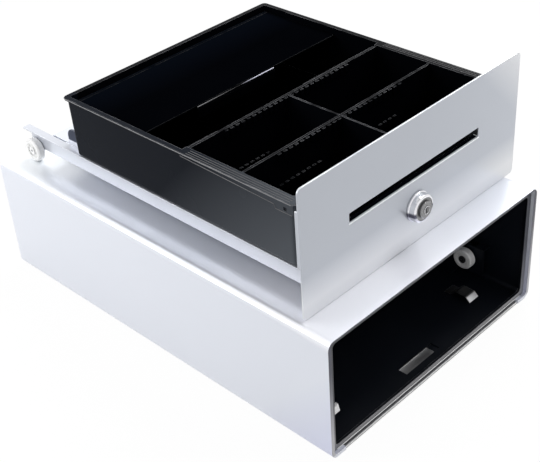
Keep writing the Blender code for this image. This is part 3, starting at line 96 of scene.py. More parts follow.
# Bottom plate and frame: where their fades of painted shade, shadow and highlight start and end, in edge
# radii
STRIP_RADII = (4, 3.5)
FOOT_RADII = (1.7, 1.5)
RETURN_RADII = (0.5, 1.5)
# Front panel: where the painted light in its top right corner starts, along its half width, and width of its
# painted edge highlight in radii
CORNER_START_SHARE = 0.6
PANEL_HIGHLIGHT_RADII = 1.6
# Lock barrel: where its painted dark and pale reflections start and end below its middle, in collar radii
DARK_BAND_SHARES = (-0.3, 0.2)
PALE_BAND_SHARES = (0.9, 1.3)
# Rear screws: reach and half width of the cross, as shares of the head's radius
CROSS_REACH_SHARE = 0.55
CROSS_WIDTH_SHARE = 0.14
# Media slot's lip: reach and rounding, as shares of its height
LIP_REACH_SHARE = 0.6
LIP_ROUND_SHARE = 0.25
# Spring: how near to its end the edges of the cut wire lie, in wire radii
COIL_END_SHARE = 1.1
# Wide rim: place of its first bead, in pitches
STRIP_START_SHARE = 0.7
# Flap's lip: place of its bend, as a share of the bend's radius, and half width and rounding in bead widths
BEND_PLACE_SHARE = 0.3
BEND_THICK_SHARE = 0.7
BEND_ROUND_SHARE = 0.4
# Floor slot: depth of the leaf's hollow, in bead widths
LEAF_DEPTH_SHARE = 0.7
# Flap's lip: where its painted highlight changes tone, in bead widths from its start, its middle and its end
LIP_FADE_BEADS = 10
LIP_END_BEADS = 40

# Lamps: place, point that it shines at, width, and the setting that holds its power
LAMPS = {
    "key_lamp": ((0.9, 0.0, 1.5), (0.0, 0.0, 0.15), 1.2, "key_power"),
    "edge_lamp": ((-0.62, 0.5, 0.62), (-0.1, 0.0, 0.1), 0.55, "edge_power"),
    "side_lamp": ((-1.7, -0.3, 0.4), (0.0, 0.0, 0.05), 1.2, "side_power"),
}
CLIP_RANGE = (0.05, 50)

# Finish of each material: two tones as shares of its colour, scale and share of its clouds, smoothest and
# roughest spots, scale and depth in metres of its grain, metallic share, and specular level
FINISHES = {
    "cover_silver_paint": ((1, 0.94), (5, 0.5), (0.26, 0.34), (1400, 0.00002), 0.4, 0.5),
    "bottom_zinc_skin": ((1, 0.8), (60, 0.3), (0.35, 0.5), (400, 0.00001), 0.1, 0.5),
    "inner_black_paint": ((1, 1.8), (12, 0.5), (0.42, 0.55), (1200, 0.00003), 0, 0.2),
    "frame_grey_paint": ((1, 0.8), (14, 0.5), (0.25, 0.35), (1200, 0.00002), 0.2, 0.5),
    "panel_silver_paint": ((1, 0.95), (6, 0.5), (0.28, 0.34), (1400, 0.00002), 0.5, 0.5),
    "pan_silver_paint": ((1, 0.9), (6, 0.5), (0.28, 0.34), (1400, 0.00002), 0.5, 0.5),
    # The rails have the cover's paint, darkened as painted shade
    "rail_silver_paint": ((0.7, 0.6), (6, 0.5), (0.28, 0.34), (1400, 0.00002), 0.5, 0.5),
    "tray_black_plastic": ((1, 1.5), (18, 0.4), (0.2, 0.3), (2200, 0.00001), 0, 0.03),
    # The flap has the tray's plastic, darkened as painted shade
    "flap_black_plastic": ((0.4, 1), (18, 0.4), (0.3, 0.4), (2200, 0.00001), 0, 0),
    "divider_black_plastic": ((1, 2), (18, 0.4), (0.3, 0.4), (2200, 0.00001), 0, 0.03),
    "zinc_plated_steel": ((1, 0.7), (90, 0.6), (0.25, 0.4), (700, 0.00002), 0.9, 0.5),
    # The stop spring has the zinc's plating, darkened as painted shade
    "spring_steel": ((0.1, 0.2), (90, 0.6), (0.25, 0.4), (700, 0.00002), 0.9, 0.5),
    "lock_polished_chrome": ((1, 1), (130, 0.8), (0.08, 0.14), (900, 0.00001), 1, 0.5),
    "plug_brushed_steel": ((0.55, 0.3), (300, 0.8), (0.2, 0.3), (900, 0.00001), 1, 0.5),
    "white_nylon": ((1, 0.9), (50, 0.5), (0.35, 0.5), (900, 0.00002), 0, 0.5),
    "dark_pin_steel": ((1, 1), (80, 0.5), (0.3, 0.45), (900, 0.00002), 0.8, 0.5),
    "enamelled_winding": ((1, 0.6), (100, 0.5), (0.25, 0.35), (500, 0.00005), 0.6, 0.5),
    "socket_black_plastic": ((1, 1.8), (40, 0.4), (0.35, 0.5), (1500, 0.00002), 0, 0.5),
    "gasket_grey_rubber": ((0.5, 0.6), (200, 0.4), (0.3, 0.4), (1200, 0.00002), 0, 0.5),
    "keyhole_bright_steel": ((0.9, 0.5), (300, 0.8), (0.15, 0.25), (900, 0.00001), 1, 0.5),
    # A black sheet that stands for the shade in the media slot
    "liner_black_felt": ((1, 2), (300, 0.5), (0.6, 0.8), (1500, 0.00003), 0, 0),
    # The cover's paint lightened as painted highlight on the slot's lip
    "slot_lip_bright_paint": ((1.3, 1.2), (60, 0.3), (0.25, 0.35), (1400, 0.00001), 0, 0.5),
    "rivet_steel": ((0.5, 0.3), (300, 0.5), (0.2, 0.3), (900, 0.00001), 0.9, 0.5),
    "screw_steel": ((1, 0.6), (300, 0.5), (0.25, 0.35), (900, 0.00001), 0.9, 0.5),
    # Beads and strips in grey tones that stand for highlights on the tray's edges
    "bead_grey_plastic": ((1, 0.6), (90, 0.6), (0.2, 0.3), (2200, 0.00001), 0, 0.2),
    "rim_bead_black_plastic": ((0.35, 0.2), (90, 0.6), (0.2, 0.3), (2200, 0.00001), 0, 0.2),
    "skirt_black_plastic": ((0.6, 0.4), (90, 0.6), (0.2, 0.3), (2200, 0.00001), 0, 0.2),
    # Painted highlight on the bend of the flap's lip
    "lip_polished_plastic": ((0.8, 0.5), (90, 0.6), (0.3, 0.4), (2200, 0.00001), 0, 0.1),
    # The zinc lightened as painted highlight on the sill's bead
    "sill_bright_zinc": ((1.2, 1.1), (60, 0.3), (0.35, 0.45), (700, 0.000005), 0.2, 0.5),
    "slot_leaf_steel": ((0.55, 0.3), (200, 0.8), (0.3, 0.45), (500, 0.00002), 0.3, 0.5),
}


# Settings


def colour(name, description, *channels):
    """A setting for a colour, given as red, green and blue."""
    return FloatVectorProperty(
        name=name, description=description, subtype="COLOR", size=4, min=0, max=1, default=(*channels, 1),
    )


def length(name, description, default, highest=0.01):
    """A setting for a length in metres."""
    return FloatProperty(
        name=name, description=description, unit="LENGTH", default=default, min=0, max=highest,
    )


def amount(name, description, default, lowest, highest):
    """A setting for a plain number."""
    return FloatProperty(name=name, description=description, default=default, min=lowest, max=highest)


def angle(name, description, degrees):
    """A setting for an angle."""
    return FloatProperty(name=name, description=description, subtype="ANGLE", default=math.radians(degrees))


def count(name, description, default, lowest, highest):
    """A setting for a whole number."""
    return IntProperty(name=name, description=description, default=default, min=lowest, max=highest)


class SheetMetalSettings(bpy.types.PropertyGroup):
    """Paints, bare metals and metal fittings of the housing and the drawer."""

    cover_colour: colour("Cover paint", "Silver paint of the cover, pan and rails", 0.73, 0.755, 0.82)
    drawer_colour: colour("Drawer paint", "Silver paint of the front panel", 0.49, 0.515, 0.565)
    bottom_colour: colour("Underside", "Zinc skin of the bottom plate", 0.62, 0.62, 0.63)
    chassis_colour: colour("Inner paint", "Black paint of the chassis and runners", 0.0012, 0.0022, 0.0048)
    frame_colour: colour("Frame", "Grey paint of the frame round the opening", 0.17, 0.17, 0.18)
    # Painted shade at the top of the frame
    frame_shade: colour("Frame top", "Darker paint at the top of the frame", 0.03, 0.032, 0.042)
    # Painted reflection on the cover's folded front edge: dark above, paler towards its foot
    hem_dark_reflection: colour("Hem", "Grey of the cover's folded front edge", 0.062, 0.063, 0.085)
    hem_pale_reflection: colour("Hem foot colour", "Lighter paint towards the foot of the front hem", 0.42, 0.42, 0.44)
    hem_weight: amount("Hem weight", "How sharply the lighter paint ends behind the front", 200, 1, 1000)
    hem_foot: length("Hem foot", "Height of the foot of the hem, which has the cover's paint", 0.004, 0.02)
    # Painted light along the front of the roof; the weight sets how sharply it ends below the roof
    roof_front_highlight: colour("Roof front", "Lighter paint along the front of the roof", 0.84, 0.85, 0.90)
    roof_weight: amount("Roof weight", "How sharply the lighter paint ends below the roof", 20, 1, 1000)
    # Painted light on the panel's top right corner, and a painted reflection of the roof on its foot
    panel_painted_light: colour("Panel skirt", "Lighter paint of the panel's foot and corner", 0.78, 0.79, 0.81)
    skirt_height: length("Panel skirt", "Height of the panel's lighter foot", 0.038, 0.1)
    # Painted shade on the bottom plate in the gap under the frame, and a painted highlight on its front edge
    gap_shade: colour("Sill gap", "Dark paint of the bottom plate next to the frame", 0.16, 0.16, 0.17)
    sill_strip_highlight: colour("Sill strip", "Pale front edge of the bottom plate", 0.95, 0.95, 0.95)
    zinc_colour: colour("Zinc", "Plated steel of the springs, the latch and the striker", 0.56, 0.56, 0.57)
    # Painted shade on the tab that stands up on the rail
    tab_shade: colour("Rail tab", "Dark paint of the tab that stands up on the rail", 0.008, 0.016, 0.045)
    tab_height: length("Tab height", "Height of the dark tab on the rail", 0.012, 0.1)
    chrome_colour: colour("Chrome", "Polished chrome of the lock's barrel", 0.92, 0.92, 0.93)
    chrome_clouds: colour("Chrome clouds", "Duller spots of the chrome", 0.70, 0.70, 0.73)
    chrome_dark: colour("Chrome shadow", "Dark reflection across the barrel", 0.10, 0.10, 0.13)
    chrome_pale: colour("Chrome foot", "Paler reflection below the dark one", 0.62, 0.62, 0.68)
    pin_colour: colour("Pins", "Dark steel of the pins", 0.07, 0.07, 0.075)
    pin_clouds: colour("Pin clouds", "Darker spots of the pins' steel", 0.03, 0.03, 0.03)
    # Painted highlight on the stop spring's front end
    spring_highlight_length: length("Spring tip", "Length of the stop spring's bright front end", 0.006, 0.02)
    edge_radius: length("Edge radius", "Roundness of the painted sheet edges", 0.0005, 0.003)
    plated_edge: length("Plated edge", "Roundness of the plated pieces' edges", 0.0002, 0.003)
    turned_edge: length("Turned edge", "Roundness of the edges of the lock and the socket", 0.0003, 0.003)
    nylon_edge: length("Nylon edge", "Roundness of the wheels' edges", 0.0004, 0.003)
    # Width of the painted highlight along the stop spring's upward edges
    spring_highlight_width: length("Spring edge", "Width of the stop spring's rubbed edges", 0.0004, 0.003)
    lock_recess: length("Lock recess", "Depth of the barrel's hollow face", 0.0013)
    gasket_radius: length("Gasket radius", "Outer radius of the gasket round the plug", 0.0097, 0.02)
    gasket_width: length("Gasket width", "Width of the gasket's wall", 0.0023)
    gasket_height: length("Gasket height", "Height of the gasket and the collar", 0.0008)
    collar_radius: length("Collar radius", "Outer radius of the collar round the keyhole", 0.0036)
    collar_width: length("Collar width", "Width of the collar's wall", 0.0007)
    hub_radius: length("Hub ring", "Radius of the raised ring on a wheel", 0.0066, 0.02)
    hub_width: length("Hub ring width", "Width of the raised ring on a wheel", 0.0008)
    hub_height: length("Hub ring height", "Height of the raised ring on a wheel", 0.0003)
    rivet_radius: length("Rivet", "Radius of the rivet's end in a hub", 0.0011)
    screw_radius: length("Screw head", "Radius of a rear screw's head", 0.0032)
    screw_height: length("Screw height", "Height of a rear screw's head", 0.0016)
    screw_inset: length("Screw inset", "Distance of a rear screw from the panel's edges", 0.011, 0.05)
    sill_bead: length("Sill bead", "Thickness of the bead along the sill", 0.0006)
    slot_width: length("Floor slot", "Width of the slot in the chassis floor", 0.044, 0.2)
    slot_front: length("Slot place", "Distance of the floor slot from the housing's front", 0.0155, 0.2)
    slot_length: length("Slot length", "Length of the floor slot from front to back", 0.009, 0.1)
    slot_stop: length("Slot stop", "Width of the dark stop at the slot's right end", 0.0062, 0.05)
    media_slot_left: length("Slot left", "Reach of the media slot to the left", 0.0799, 0.3)
    media_slot_right: length("Slot right", "Reach of the media slot to the right", 0.0779, 0.3)
    media_slot_level: length("Slot level", "Height of the media slot above the panel's foot", 0.0588, 0.3)
    # Thickness of the black sheet of painted shade in the media slot
    shade_sheet_height: length("Liner", "Thickness of the liner in the media slot", 0.0003)
    slot_lip: length("Slot lip", "Height of the rolled lip under the media slot", 0.0009)
    sheet_thickness: length("Sheet", "Thickness of the panel's sheet", 0.0012)
    spring_wire: length("Spring wire", "Radius of the wire of the plunger's spring", 0.0005)
    plunger_travel: length("Plunger travel", "How far the pulled plunger shortens its spring", 0.0039)
    spring_turns: count("Spring turns", "Turns of the plunger's spring", 5, 1, 20)
    spring_steps: count("Spring steps", "Steps in one turn of the plunger's spring", 18, 6, 60)


class PlasticSettings(bpy.types.PropertyGroup):
    """Moulded plastics, their painted reflections, and the beads of painted highlight on the tray and the
    flap.
    """

    tray_colour: colour("Tray", "Black plastic of the tray, flap and dividers", 0.0012, 0.0015, 0.0025)
    # Painted reflection on the tray's outer wall, greyer low at the front
    wall_reflection: colour("Tray wall", "Black plastic of the tray's outer wall", 0.003, 0.0045, 0.008)
    wall_foot_reflection: colour("Tray foot", "Greyer plastic low at the front of the outer wall", 0.08, 0.088, 0.10)
    wall_depth: length("Wall depth", "How far in the outer wall's colour reaches", 0.012, 0.1)
    # Painted highlight on the plastic's upward edges; its width is also the rounding of the edges
    rim_highlight: colour("Tray edges", "Rubbed edges of the black plastic", 0.26, 0.265, 0.28)
    rim_width: length("Edge width", "Width of the rubbed edges", 0.0005, 0.003)
    rim_corner: length("Rim corner", "Radius of the rim's corners", 0.0038, 0.02)
    # Painted highlight: grey of the fine beads on the tray's edges
    bead_painted_highlight: colour("Bead", "Rubbed grey of the fine beads on the tray", 0.30, 0.30, 0.31)
    bead_width: length("Bead", "Thickness of the fine beads on the tray", 0.0005, 0.005)
    bead_pitch: length("Bead pitch", "Distance between the beads on the wide rim", 0.0024, 0.02)
    strip_length: length("Bead length", "How far back the beads on the wide rim reach", 0.112, 0.4)
    skirt_lug: length("Skirt lug", "Length of the lug at the front of the tray's skirt", 0.019, 0.04)
    lug_drop: length("Lug drop", "How far the skirt's lug reaches below the skirt", 0.0032)
    skirt_front: length("Skirt in front", "Height of the tray's skirt behind its lug", 0.0056, 0.02)
    skirt_rear: length("Skirt behind", "Height of the tray's skirt at its rear end", 0.0026, 0.02)
    bill_length: length("Bill length", "Length of the bill section, behind the skirt", 0.1455, 0.3)
    # Painted highlight: bright right end of the flap's lip
    lip_painted_highlight: colour("Lip end", "Bright right end of the flap's lip", 0.75, 0.76, 0.90)
    lip_start: length("Lip start", "Distance of the flap's lip from its left end", 0.0625, 0.3)
    lip_end: length("Lip end", "Distance of the flap's lip from its right end", 0.0817, 0.3)
    lip_bend: length("Lip bend", "Radius of the flap's bent lip", 0.004, 0.02)
    lip_level: length("Lip level", "Depth of the bright bend below the flap's barrel", 0.0021, 0.02)
    nylon_colour: colour("Wheels", "White nylon of the wheels and the glide block", 0.80, 0.80, 0.80)
    socket_colour: colour("Socket", "Black plastic of the socket and the switch", 0.015, 0.015, 0.016)
    copper_colour: colour("Winding", "Enamelled wire of the release coil", 0.42, 0.14, 0.045)


class StageSettings(bpy.types.PropertyGroup):
    """Camera, floor and lamps."""

    camera_place: FloatVectorProperty(
        name="Camera", description="Where the camera stands", subtype="TRANSLATION", unit="LENGTH", size=3,
        default=(-0.56837, -0.60769, 0.62486),
    )
    camera_azimuth: angle("Azimuth", "Angle of the camera round the housing", -43.673)
    camera_elevation: angle("Elevation", "Angle of the camera above the floor", 34.502)
    camera_roll: angle("Roll", "Turn of the camera about its line of sight", -4.202)
    focal_length: amount("Lens", "Focal length for a frame 36 mm wide", 73.93, 10, 300)
    floor_width: length("Floor", "Width of the floor", 8, 40)
    floor_gap: length("Floor gap", "Gap between the object and the floor", 0.0004)
    floor_colour: colour("Floor colour", "Paint of the floor where it takes shadows", 0.9, 0.9, 0.9)
    floor_roughness: amount("Floor roughness", "Roughness of the floor", 0.8, 0, 1)
    floor_white: amount("White floor", "Share of plain white in the floor that is seen", 0.96, 0, 1)
    key_power: amount("Key lamp", "Power of the lamp above and to the right, in watts", 34, 0, 200)
    side_power: amount("Side lamp", "Power of the lamp on the left, in watts", 1.6, 0, 200)
    edge_power: amount("Edge lamp", "Power of the lamp behind and to the left, in watts", 4.6, 0, 200)
    room_light: amount("Room light", "Strength of the even light from all round", 0.45, 0, 2)


# Shader nodes


def fill(tree, node, inputs):
    """Sets each input of a node to a value, or links it to a socket."""
    for key, value in inputs.items():
        if isinstance(value, bpy.types.NodeSocket):
            tree.links.new(value, node.inputs[key])
        else:
            node.inputs[key].default_value = value
    return node


def add_node(tree, kind, inputs, **settings):
    """A new node to the right of the others, with its settings and its inputs."""
    node = tree.nodes.new(kind)
    node.location = (NODE_PITCH * len(tree.nodes), 0)
    for key, value in settings.items():
        setattr(node, key, value)
    return fill(tree, node, inputs)


def add_maths(tree, operation, first, second):
    """The result of a sum with two numbers."""
    return add_node(tree, "ShaderNodeMath", {0: first, 1: second}, operation=operation).outputs["Value"]


def mix_colours(tree, share, first, second):
    """A mix of two colours."""
    inputs = {"Factor": share, "A": first, "B": second}
    return add_node(tree, "ShaderNodeMix", inputs, data_type="RGBA").outputs["Result"]


def new_group(name, inputs, outputs):
    """A shader node group with the names and defaults of its sockets, and what is given to it."""
    group = bpy.data.node_groups.new(name, "ShaderNodeTree")
    kinds = {1: "NodeSocketFloat", 3: "NodeSocketVector", 4: "NodeSocketColor"}
    for direction, sockets in (("INPUT", inputs), ("OUTPUT", outputs)):
        for label, default in sockets.items():
            kind = kinds[1 if isinstance(default, float) else len(default)]
            made = group.interface.new_socket(name=label, in_out=direction, socket_type=kind)
            made.default_value = default
    return group, add_node(group, "NodeGroupInput", {}).outputs


def uneven_tone_group(name):
    """Clouds of a second colour over a first one, with a fine speckle between them."""
    group, given = new_group(name, {
        "Vector": (0, 0, 0), "Colour": GREY, "Second colour": GREY, "Cloud scale": 8.0, "Cloud share": 0.3,
        "Speckle scale": 900.0, "Speckle share": 0.1,
    }, {"Colour": GREY, "Cloud": 0.0})
    result = given["Colour"]
    masks = []
    for kind, detail in (("Cloud", 3.0), ("Speckle", 1.0)):
        noise = add_node(group, "ShaderNodeTexNoise", {
            "Vector": given["Vector"], "Scale": given[kind + " scale"], "Detail": detail,
        })
        masks.append(noise.outputs["Fac"])
        share = add_maths(group, "MULTIPLY", masks[-1], given[kind + " share"])
        result = mix_colours(group, share, result, given["Second colour"])
    add_node(group, "NodeGroupOutput", {"Colour": result, "Cloud": masks[0]})
    return group


def fine_relief_group(name):
    """Height of a fine grain, drawn out along one axis if need be."""
    group, given = new_group(name, {
        "Vector": (0, 0, 0), "Stretch": (1, 1, 1), "Grain scale": 1500.0,
    }, {"Height": 0.0})
    drawn = add_node(
        group, "ShaderNodeVectorMath", {0: given["Vector"], 1: given["Stretch"]}, operation="MULTIPLY",
    )
    grain = add_node(group, "ShaderNodeTexNoise", {
        "Vector": drawn.outputs["Vector"], "Scale": given["Grain scale"], "Detail": 2.0,
    })
    add_node(group, "NodeGroupOutput", {"Height": grain.outputs["Fac"]})
    return group


def uneven_gloss_group(name):
    """Roughness between two values, by a cloud."""
    group, given = new_group(name, {"Cloud": 0.5, "Smoothest": 0.3, "Roughest": 0.4}, {"Roughness": 0.0})
    spread = add_node(group, "ShaderNodeMapRange", {
        "Value": given["Cloud"], "From Min": 0.1, "From Max": 0.9, "To Min": given["Smoothest"],
        "To Max": given["Roughest"],
    }, interpolation_type="SMOOTHSTEP")
    add_node(group, "NodeGroupOutput", {"Roughness": spread.outputs["Result"]})
    return group


def edge_mask_group(name):
    """Painted highlight: one along the sharp edges that look upwards and nought elsewhere, broken up by a
    noise.
    """
    group, given = new_group(name, {
        "Vector": (0, 0, 0), "Width": 0.0005, "Patch scale": 60.0,
    }, {"Edge": 0.0})
    rounded = add_node(group, "ShaderNodeBevel", {"Radius": given["Width"]}, samples=BEVEL_SAMPLES)
    flat = add_node(group, "ShaderNodeNewGeometry", {})
    turn = add_node(
        group, "ShaderNodeVectorMath", {0: rounded.outputs["Normal"], 1: flat.outputs["Normal"]},
        operation="DOT_PRODUCT",
    )
    edge = add_node(group, "ShaderNodeMapRange", {
        "Value": turn.outputs["Value"], "From Min": 0.995, "From Max": 0.90,
    })
    upward = add_node(group, "ShaderNodeSeparateXYZ", {"Vector": rounded.outputs["Normal"]})
    lit = add_node(group, "ShaderNodeMapRange", {
        "Value": upward.outputs["Z"], "From Min": 0.1, "From Max": 0.5,
    })
    noise = add_node(group, "ShaderNodeTexNoise", {"Vector": given["Vector"], "Scale": given["Patch scale"]})
    patches = add_node(group, "ShaderNodeMapRange", {
        "Value": noise.outputs["Fac"], "From Min": 0.3, "From Max": 0.6, "To Min": 0.0,
        "To Max": lit.outputs["Result"],
    })
    both = add_maths(group, "MULTIPLY", edge.outputs["Result"], patches.outputs["Result"])
    add_node(group, "NodeGroupOutput", {"Edge": both})
    return group


def fade_group(name):
    """A second colour that grows along one direction, from one distance to another."""
    group, given = new_group(name, {
        "Vector": (0, 0, 0), "Direction": (0, 0, 1), "Start": 0.0, "End": 0.1, "Colour": GREY,
        "Far colour": GREY,
    }, {"Colour": GREY})
    along = add_node(
        group, "ShaderNodeVectorMath", {0: given["Vector"], 1: given["Direction"]}, operation="DOT_PRODUCT",
    )
    spread = add_node(group, "ShaderNodeMapRange", {
        "Value": along.outputs["Value"], "From Min": given["Start"], "From Max": given["End"],
    })
    mixed = mix_colours(group, spread.outputs["Result"], given["Colour"], given["Far colour"])
    add_node(group, "NodeGroupOutput", {"Colour": mixed})
    return group


GROUPS = {
    "Uneven tone": uneven_tone_group, "Fine relief": fine_relief_group, "Uneven gloss": uneven_gloss_group,
    "Edge mask": edge_mask_group, "Fade": fade_group,
}


def add_group(tree, name, inputs):
    """Places one of the shared groups, which is built when it is first needed."""
    group = bpy.data.node_groups.get(name) or GROUPS[name](name)
    return add_node(tree, "ShaderNodeGroup", inputs, node_tree=group)


# Materials


def shade(colour, factor):
    """A lighter or darker tone of a colour."""
    return [min(1.0, value * factor) for value in colour[:3]] + [1.0]


def surface(name, colour, edge=0.0, edge_highlight=None, fades=(), clouds=None, coat=0.0, stretch=(1, 1, 1)):
    """A material with uneven tone, uneven gloss, a fine relief and softened edges.

    edge: radius of the softened edges; edge_highlight: colour and width of the painted highlight along the
    upward edges; fades: direction, start, end and colour of each; clouds: their colour, where it isn't a
    tone of the first.
    """
    tones, cloud, gloss, relief, metallic, specular = FINISHES[name]
    made = bpy.data.materials.new(name)
    made.use_nodes = True
    tree = made.node_tree
    shader = tree.nodes["Principled BSDF"]
    place = add_node(tree, "ShaderNodeTexCoord", {}).outputs["Object"]
    tone = add_group(tree, "Uneven tone", {
        "Vector": place, "Colour": shade(colour, tones[0]), "Cloud scale": cloud[0], "Cloud share": cloud[1],
        "Second colour": shade(colour, tones[1]) if clouds is None else clouds,
    })
    base = tone.outputs["Colour"]
    for direction, start, end, far_colour in fades:
        base = add_group(tree, "Fade", {
            "Vector": place, "Direction": direction, "Start": start, "End": end, "Colour": base,
            "Far colour": far_colour,
        }).outputs["Colour"]
    # Painted highlight along the upward edges, broken up in patches
    if edge_highlight:
        rubbed = add_group(tree, "Edge mask", {"Vector": place, "Width": edge_highlight[1]})
        base = mix_colours(tree, rubbed.outputs["Edge"], base, edge_highlight[0])
    sheen = add_group(tree, "Uneven gloss", {
        "Cloud": tone.outputs["Cloud"], "Smoothest": gloss[0], "Roughest": gloss[1],
    })
    grain = add_group(tree, "Fine relief", {"Vector": place, "Stretch": stretch, "Grain scale": relief[0]})
    bump = add_node(tree, "ShaderNodeBump", {"Height": grain.outputs["Height"], "Distance": relief[1]})
    if edge:
        rounding = add_node(tree, "ShaderNodeBevel", {"Radius": edge}, samples=BEVEL_SAMPLES)
        fill(tree, bump, {"Normal": rounding.outputs["Normal"]})
    if coat:
        fill(tree, shader, {"Coat Weight": coat, "Coat Roughness": COAT_ROUGHNESS})
    fill(tree, shader, {
        "Base Color": base, "Roughness": sheen.outputs["Roughness"], "Normal": bump.outputs["Normal"],
        "Metallic": metallic, "Specular IOR Level": specular,
    })
    return made


def dress(material, *names):
    """Puts a material on frame nodes."""
    for name in names:
        data = nodes[name].data
        data.materials.clear()
        data.materials.append(material)


# Modelling steps: each acts on the active piece alone, in edit mode


def middle(name):
    """The middle of a frame node."""
    low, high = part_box(name)
    return (low + high) / 2


def begin_piece(piece, name):
    """Names a new piece, moves its origin to the world's and enters edit mode."""
    piece.name = name
    piece.data.name = name
    bpy.ops.object.transform_apply(location=True, rotation=True, scale=True)
    bpy.ops.object.mode_set(mode="EDIT")
    return piece


def add_bar(name, low, high):
    """A bar between two corners, to be shaped."""
    bpy.ops.object.select_all(action="DESELECT")
    low, high = Vector(low), Vector(high)
    bpy.ops.mesh.primitive_cube_add(size=1, location=(low + high) / 2)
    piece = bpy.context.active_object
    piece.scale = high - low
    return begin_piece(piece, name)


def add_disc(name, centre, radius, depth, way, sides=DISC_SIDES):
    """A disc whose ends look right and left or back and forth, to be shaped."""
    bpy.ops.object.select_all(action="DESELECT")
    turn = (0, math.pi / 2, 0) if way == RIGHT else (math.pi / 2, 0, 0)
    bpy.ops.mesh.primitive_cylinder_add(
        vertices=sides, radius=radius, depth=depth, location=centre, rotation=turn,
    )
    return begin_piece(bpy.context.active_object, name)


def pick_faces(piece, *ways):
    """Selects the faces that look one of these ways."""
    bpy.ops.mesh.select_mode(type="FACE")
    bpy.ops.mesh.select_all(action="DESELECT")
    mesh = bmesh.from_edit_mesh(piece.data)
    for face in mesh.faces:
        face.select_set(any(face.normal.dot(way) > FACING_SHARE for way in ways))
    bmesh.update_edit_mesh(piece.data)


def pick_edges(piece, wanted):
    """Selects the edges whose two ends are wanted."""
    bpy.ops.mesh.select_mode(type="EDGE")
    bpy.ops.mesh.select_all(action="DESELECT")
    mesh = bmesh.from_edit_mesh(piece.data)
    for edge in mesh.edges:
        edge.select_set(bool(wanted(edge.verts[0].co, edge.verts[1].co)))
    bmesh.update_edit_mesh(piece.data)


def open_ring(piece, way, wall):
    """Joins the two ends of a disc or a bar through its middle, which leaves a ring."""
    pick_faces(piece, way, -way)
    bpy.ops.mesh.inset(thickness=wall)
    bpy.ops.mesh.bridge_edge_loops()


def step_face(piece, way, rim, rise):
    """Raises the faces that look one way inside a rim, or sinks them where the rise is below nought."""
    pick_faces(piece, way)
    bpy.ops.mesh.inset(thickness=rim)
    bpy.ops.transform.translate(value=way * rise)


def round_face(piece, way, width, segments=2):
    """Rounds the edges of the faces that look one way."""
    pick_faces(piece, way)
    bpy.ops.mesh.bevel(offset=width, segments=segments, affect="EDGES")


def round_sharp(width, segments=2):
    """Rounds every sharp edge."""
    bpy.ops.mesh.select_mode(type="EDGE")
    bpy.ops.mesh.select_all(action="DESELECT")
    bpy.ops.mesh.edges_select_sharp(sharpness=SHARP_ANGLE)
    bpy.ops.mesh.bevel(offset=width, segments=segments, affect="EDGES")


def close_piece(piece, material, body):
    """Leaves edit mode, smooths the piece and lets it ride on its body."""
    bpy.ops.mesh.select_all(action="SELECT")
    bpy.ops.mesh.remove_doubles(threshold=WELD_DISTANCE)
    bpy.ops.mesh.normals_make_consistent(inside=False)
    bpy.ops.object.mode_set(mode="OBJECT")
    bpy.ops.object.shade_smooth_by_angle(angle=SMOOTH_ANGLE)
    piece.data.materials.append(material)
    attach(piece, body)


def copy_piece(piece, name, body, offset=None, mirrored=None):
    """A copy with its own mesh, moved, or mirrored in a plane across X."""
    bpy.ops.object.select_all(action="DESELECT")
    twin = piece.copy()
    twin.data = piece.data.copy()
    twin.name = name
    twin.data.name = name
    bpy.context.scene.collection.objects.link(twin)
    twin.select_set(True)
    bpy.context.view_layer.objects.active = twin
    bpy.ops.object.mode_set(mode="EDIT")
    bpy.ops.mesh.select_all(action="SELECT")
    if mirrored is None:
        bpy.ops.transform.translate(value=offset)
    else:
        bpy.ops.transform.mirror(constraint_axis=(True, False, False), center_override=(mirrored, 0, 0))
        bpy.ops.mesh.normals_make_consistent(inside=False)
    bpy.ops.object.mode_set(mode="OBJECT")
    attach(twin, body)


# Operators


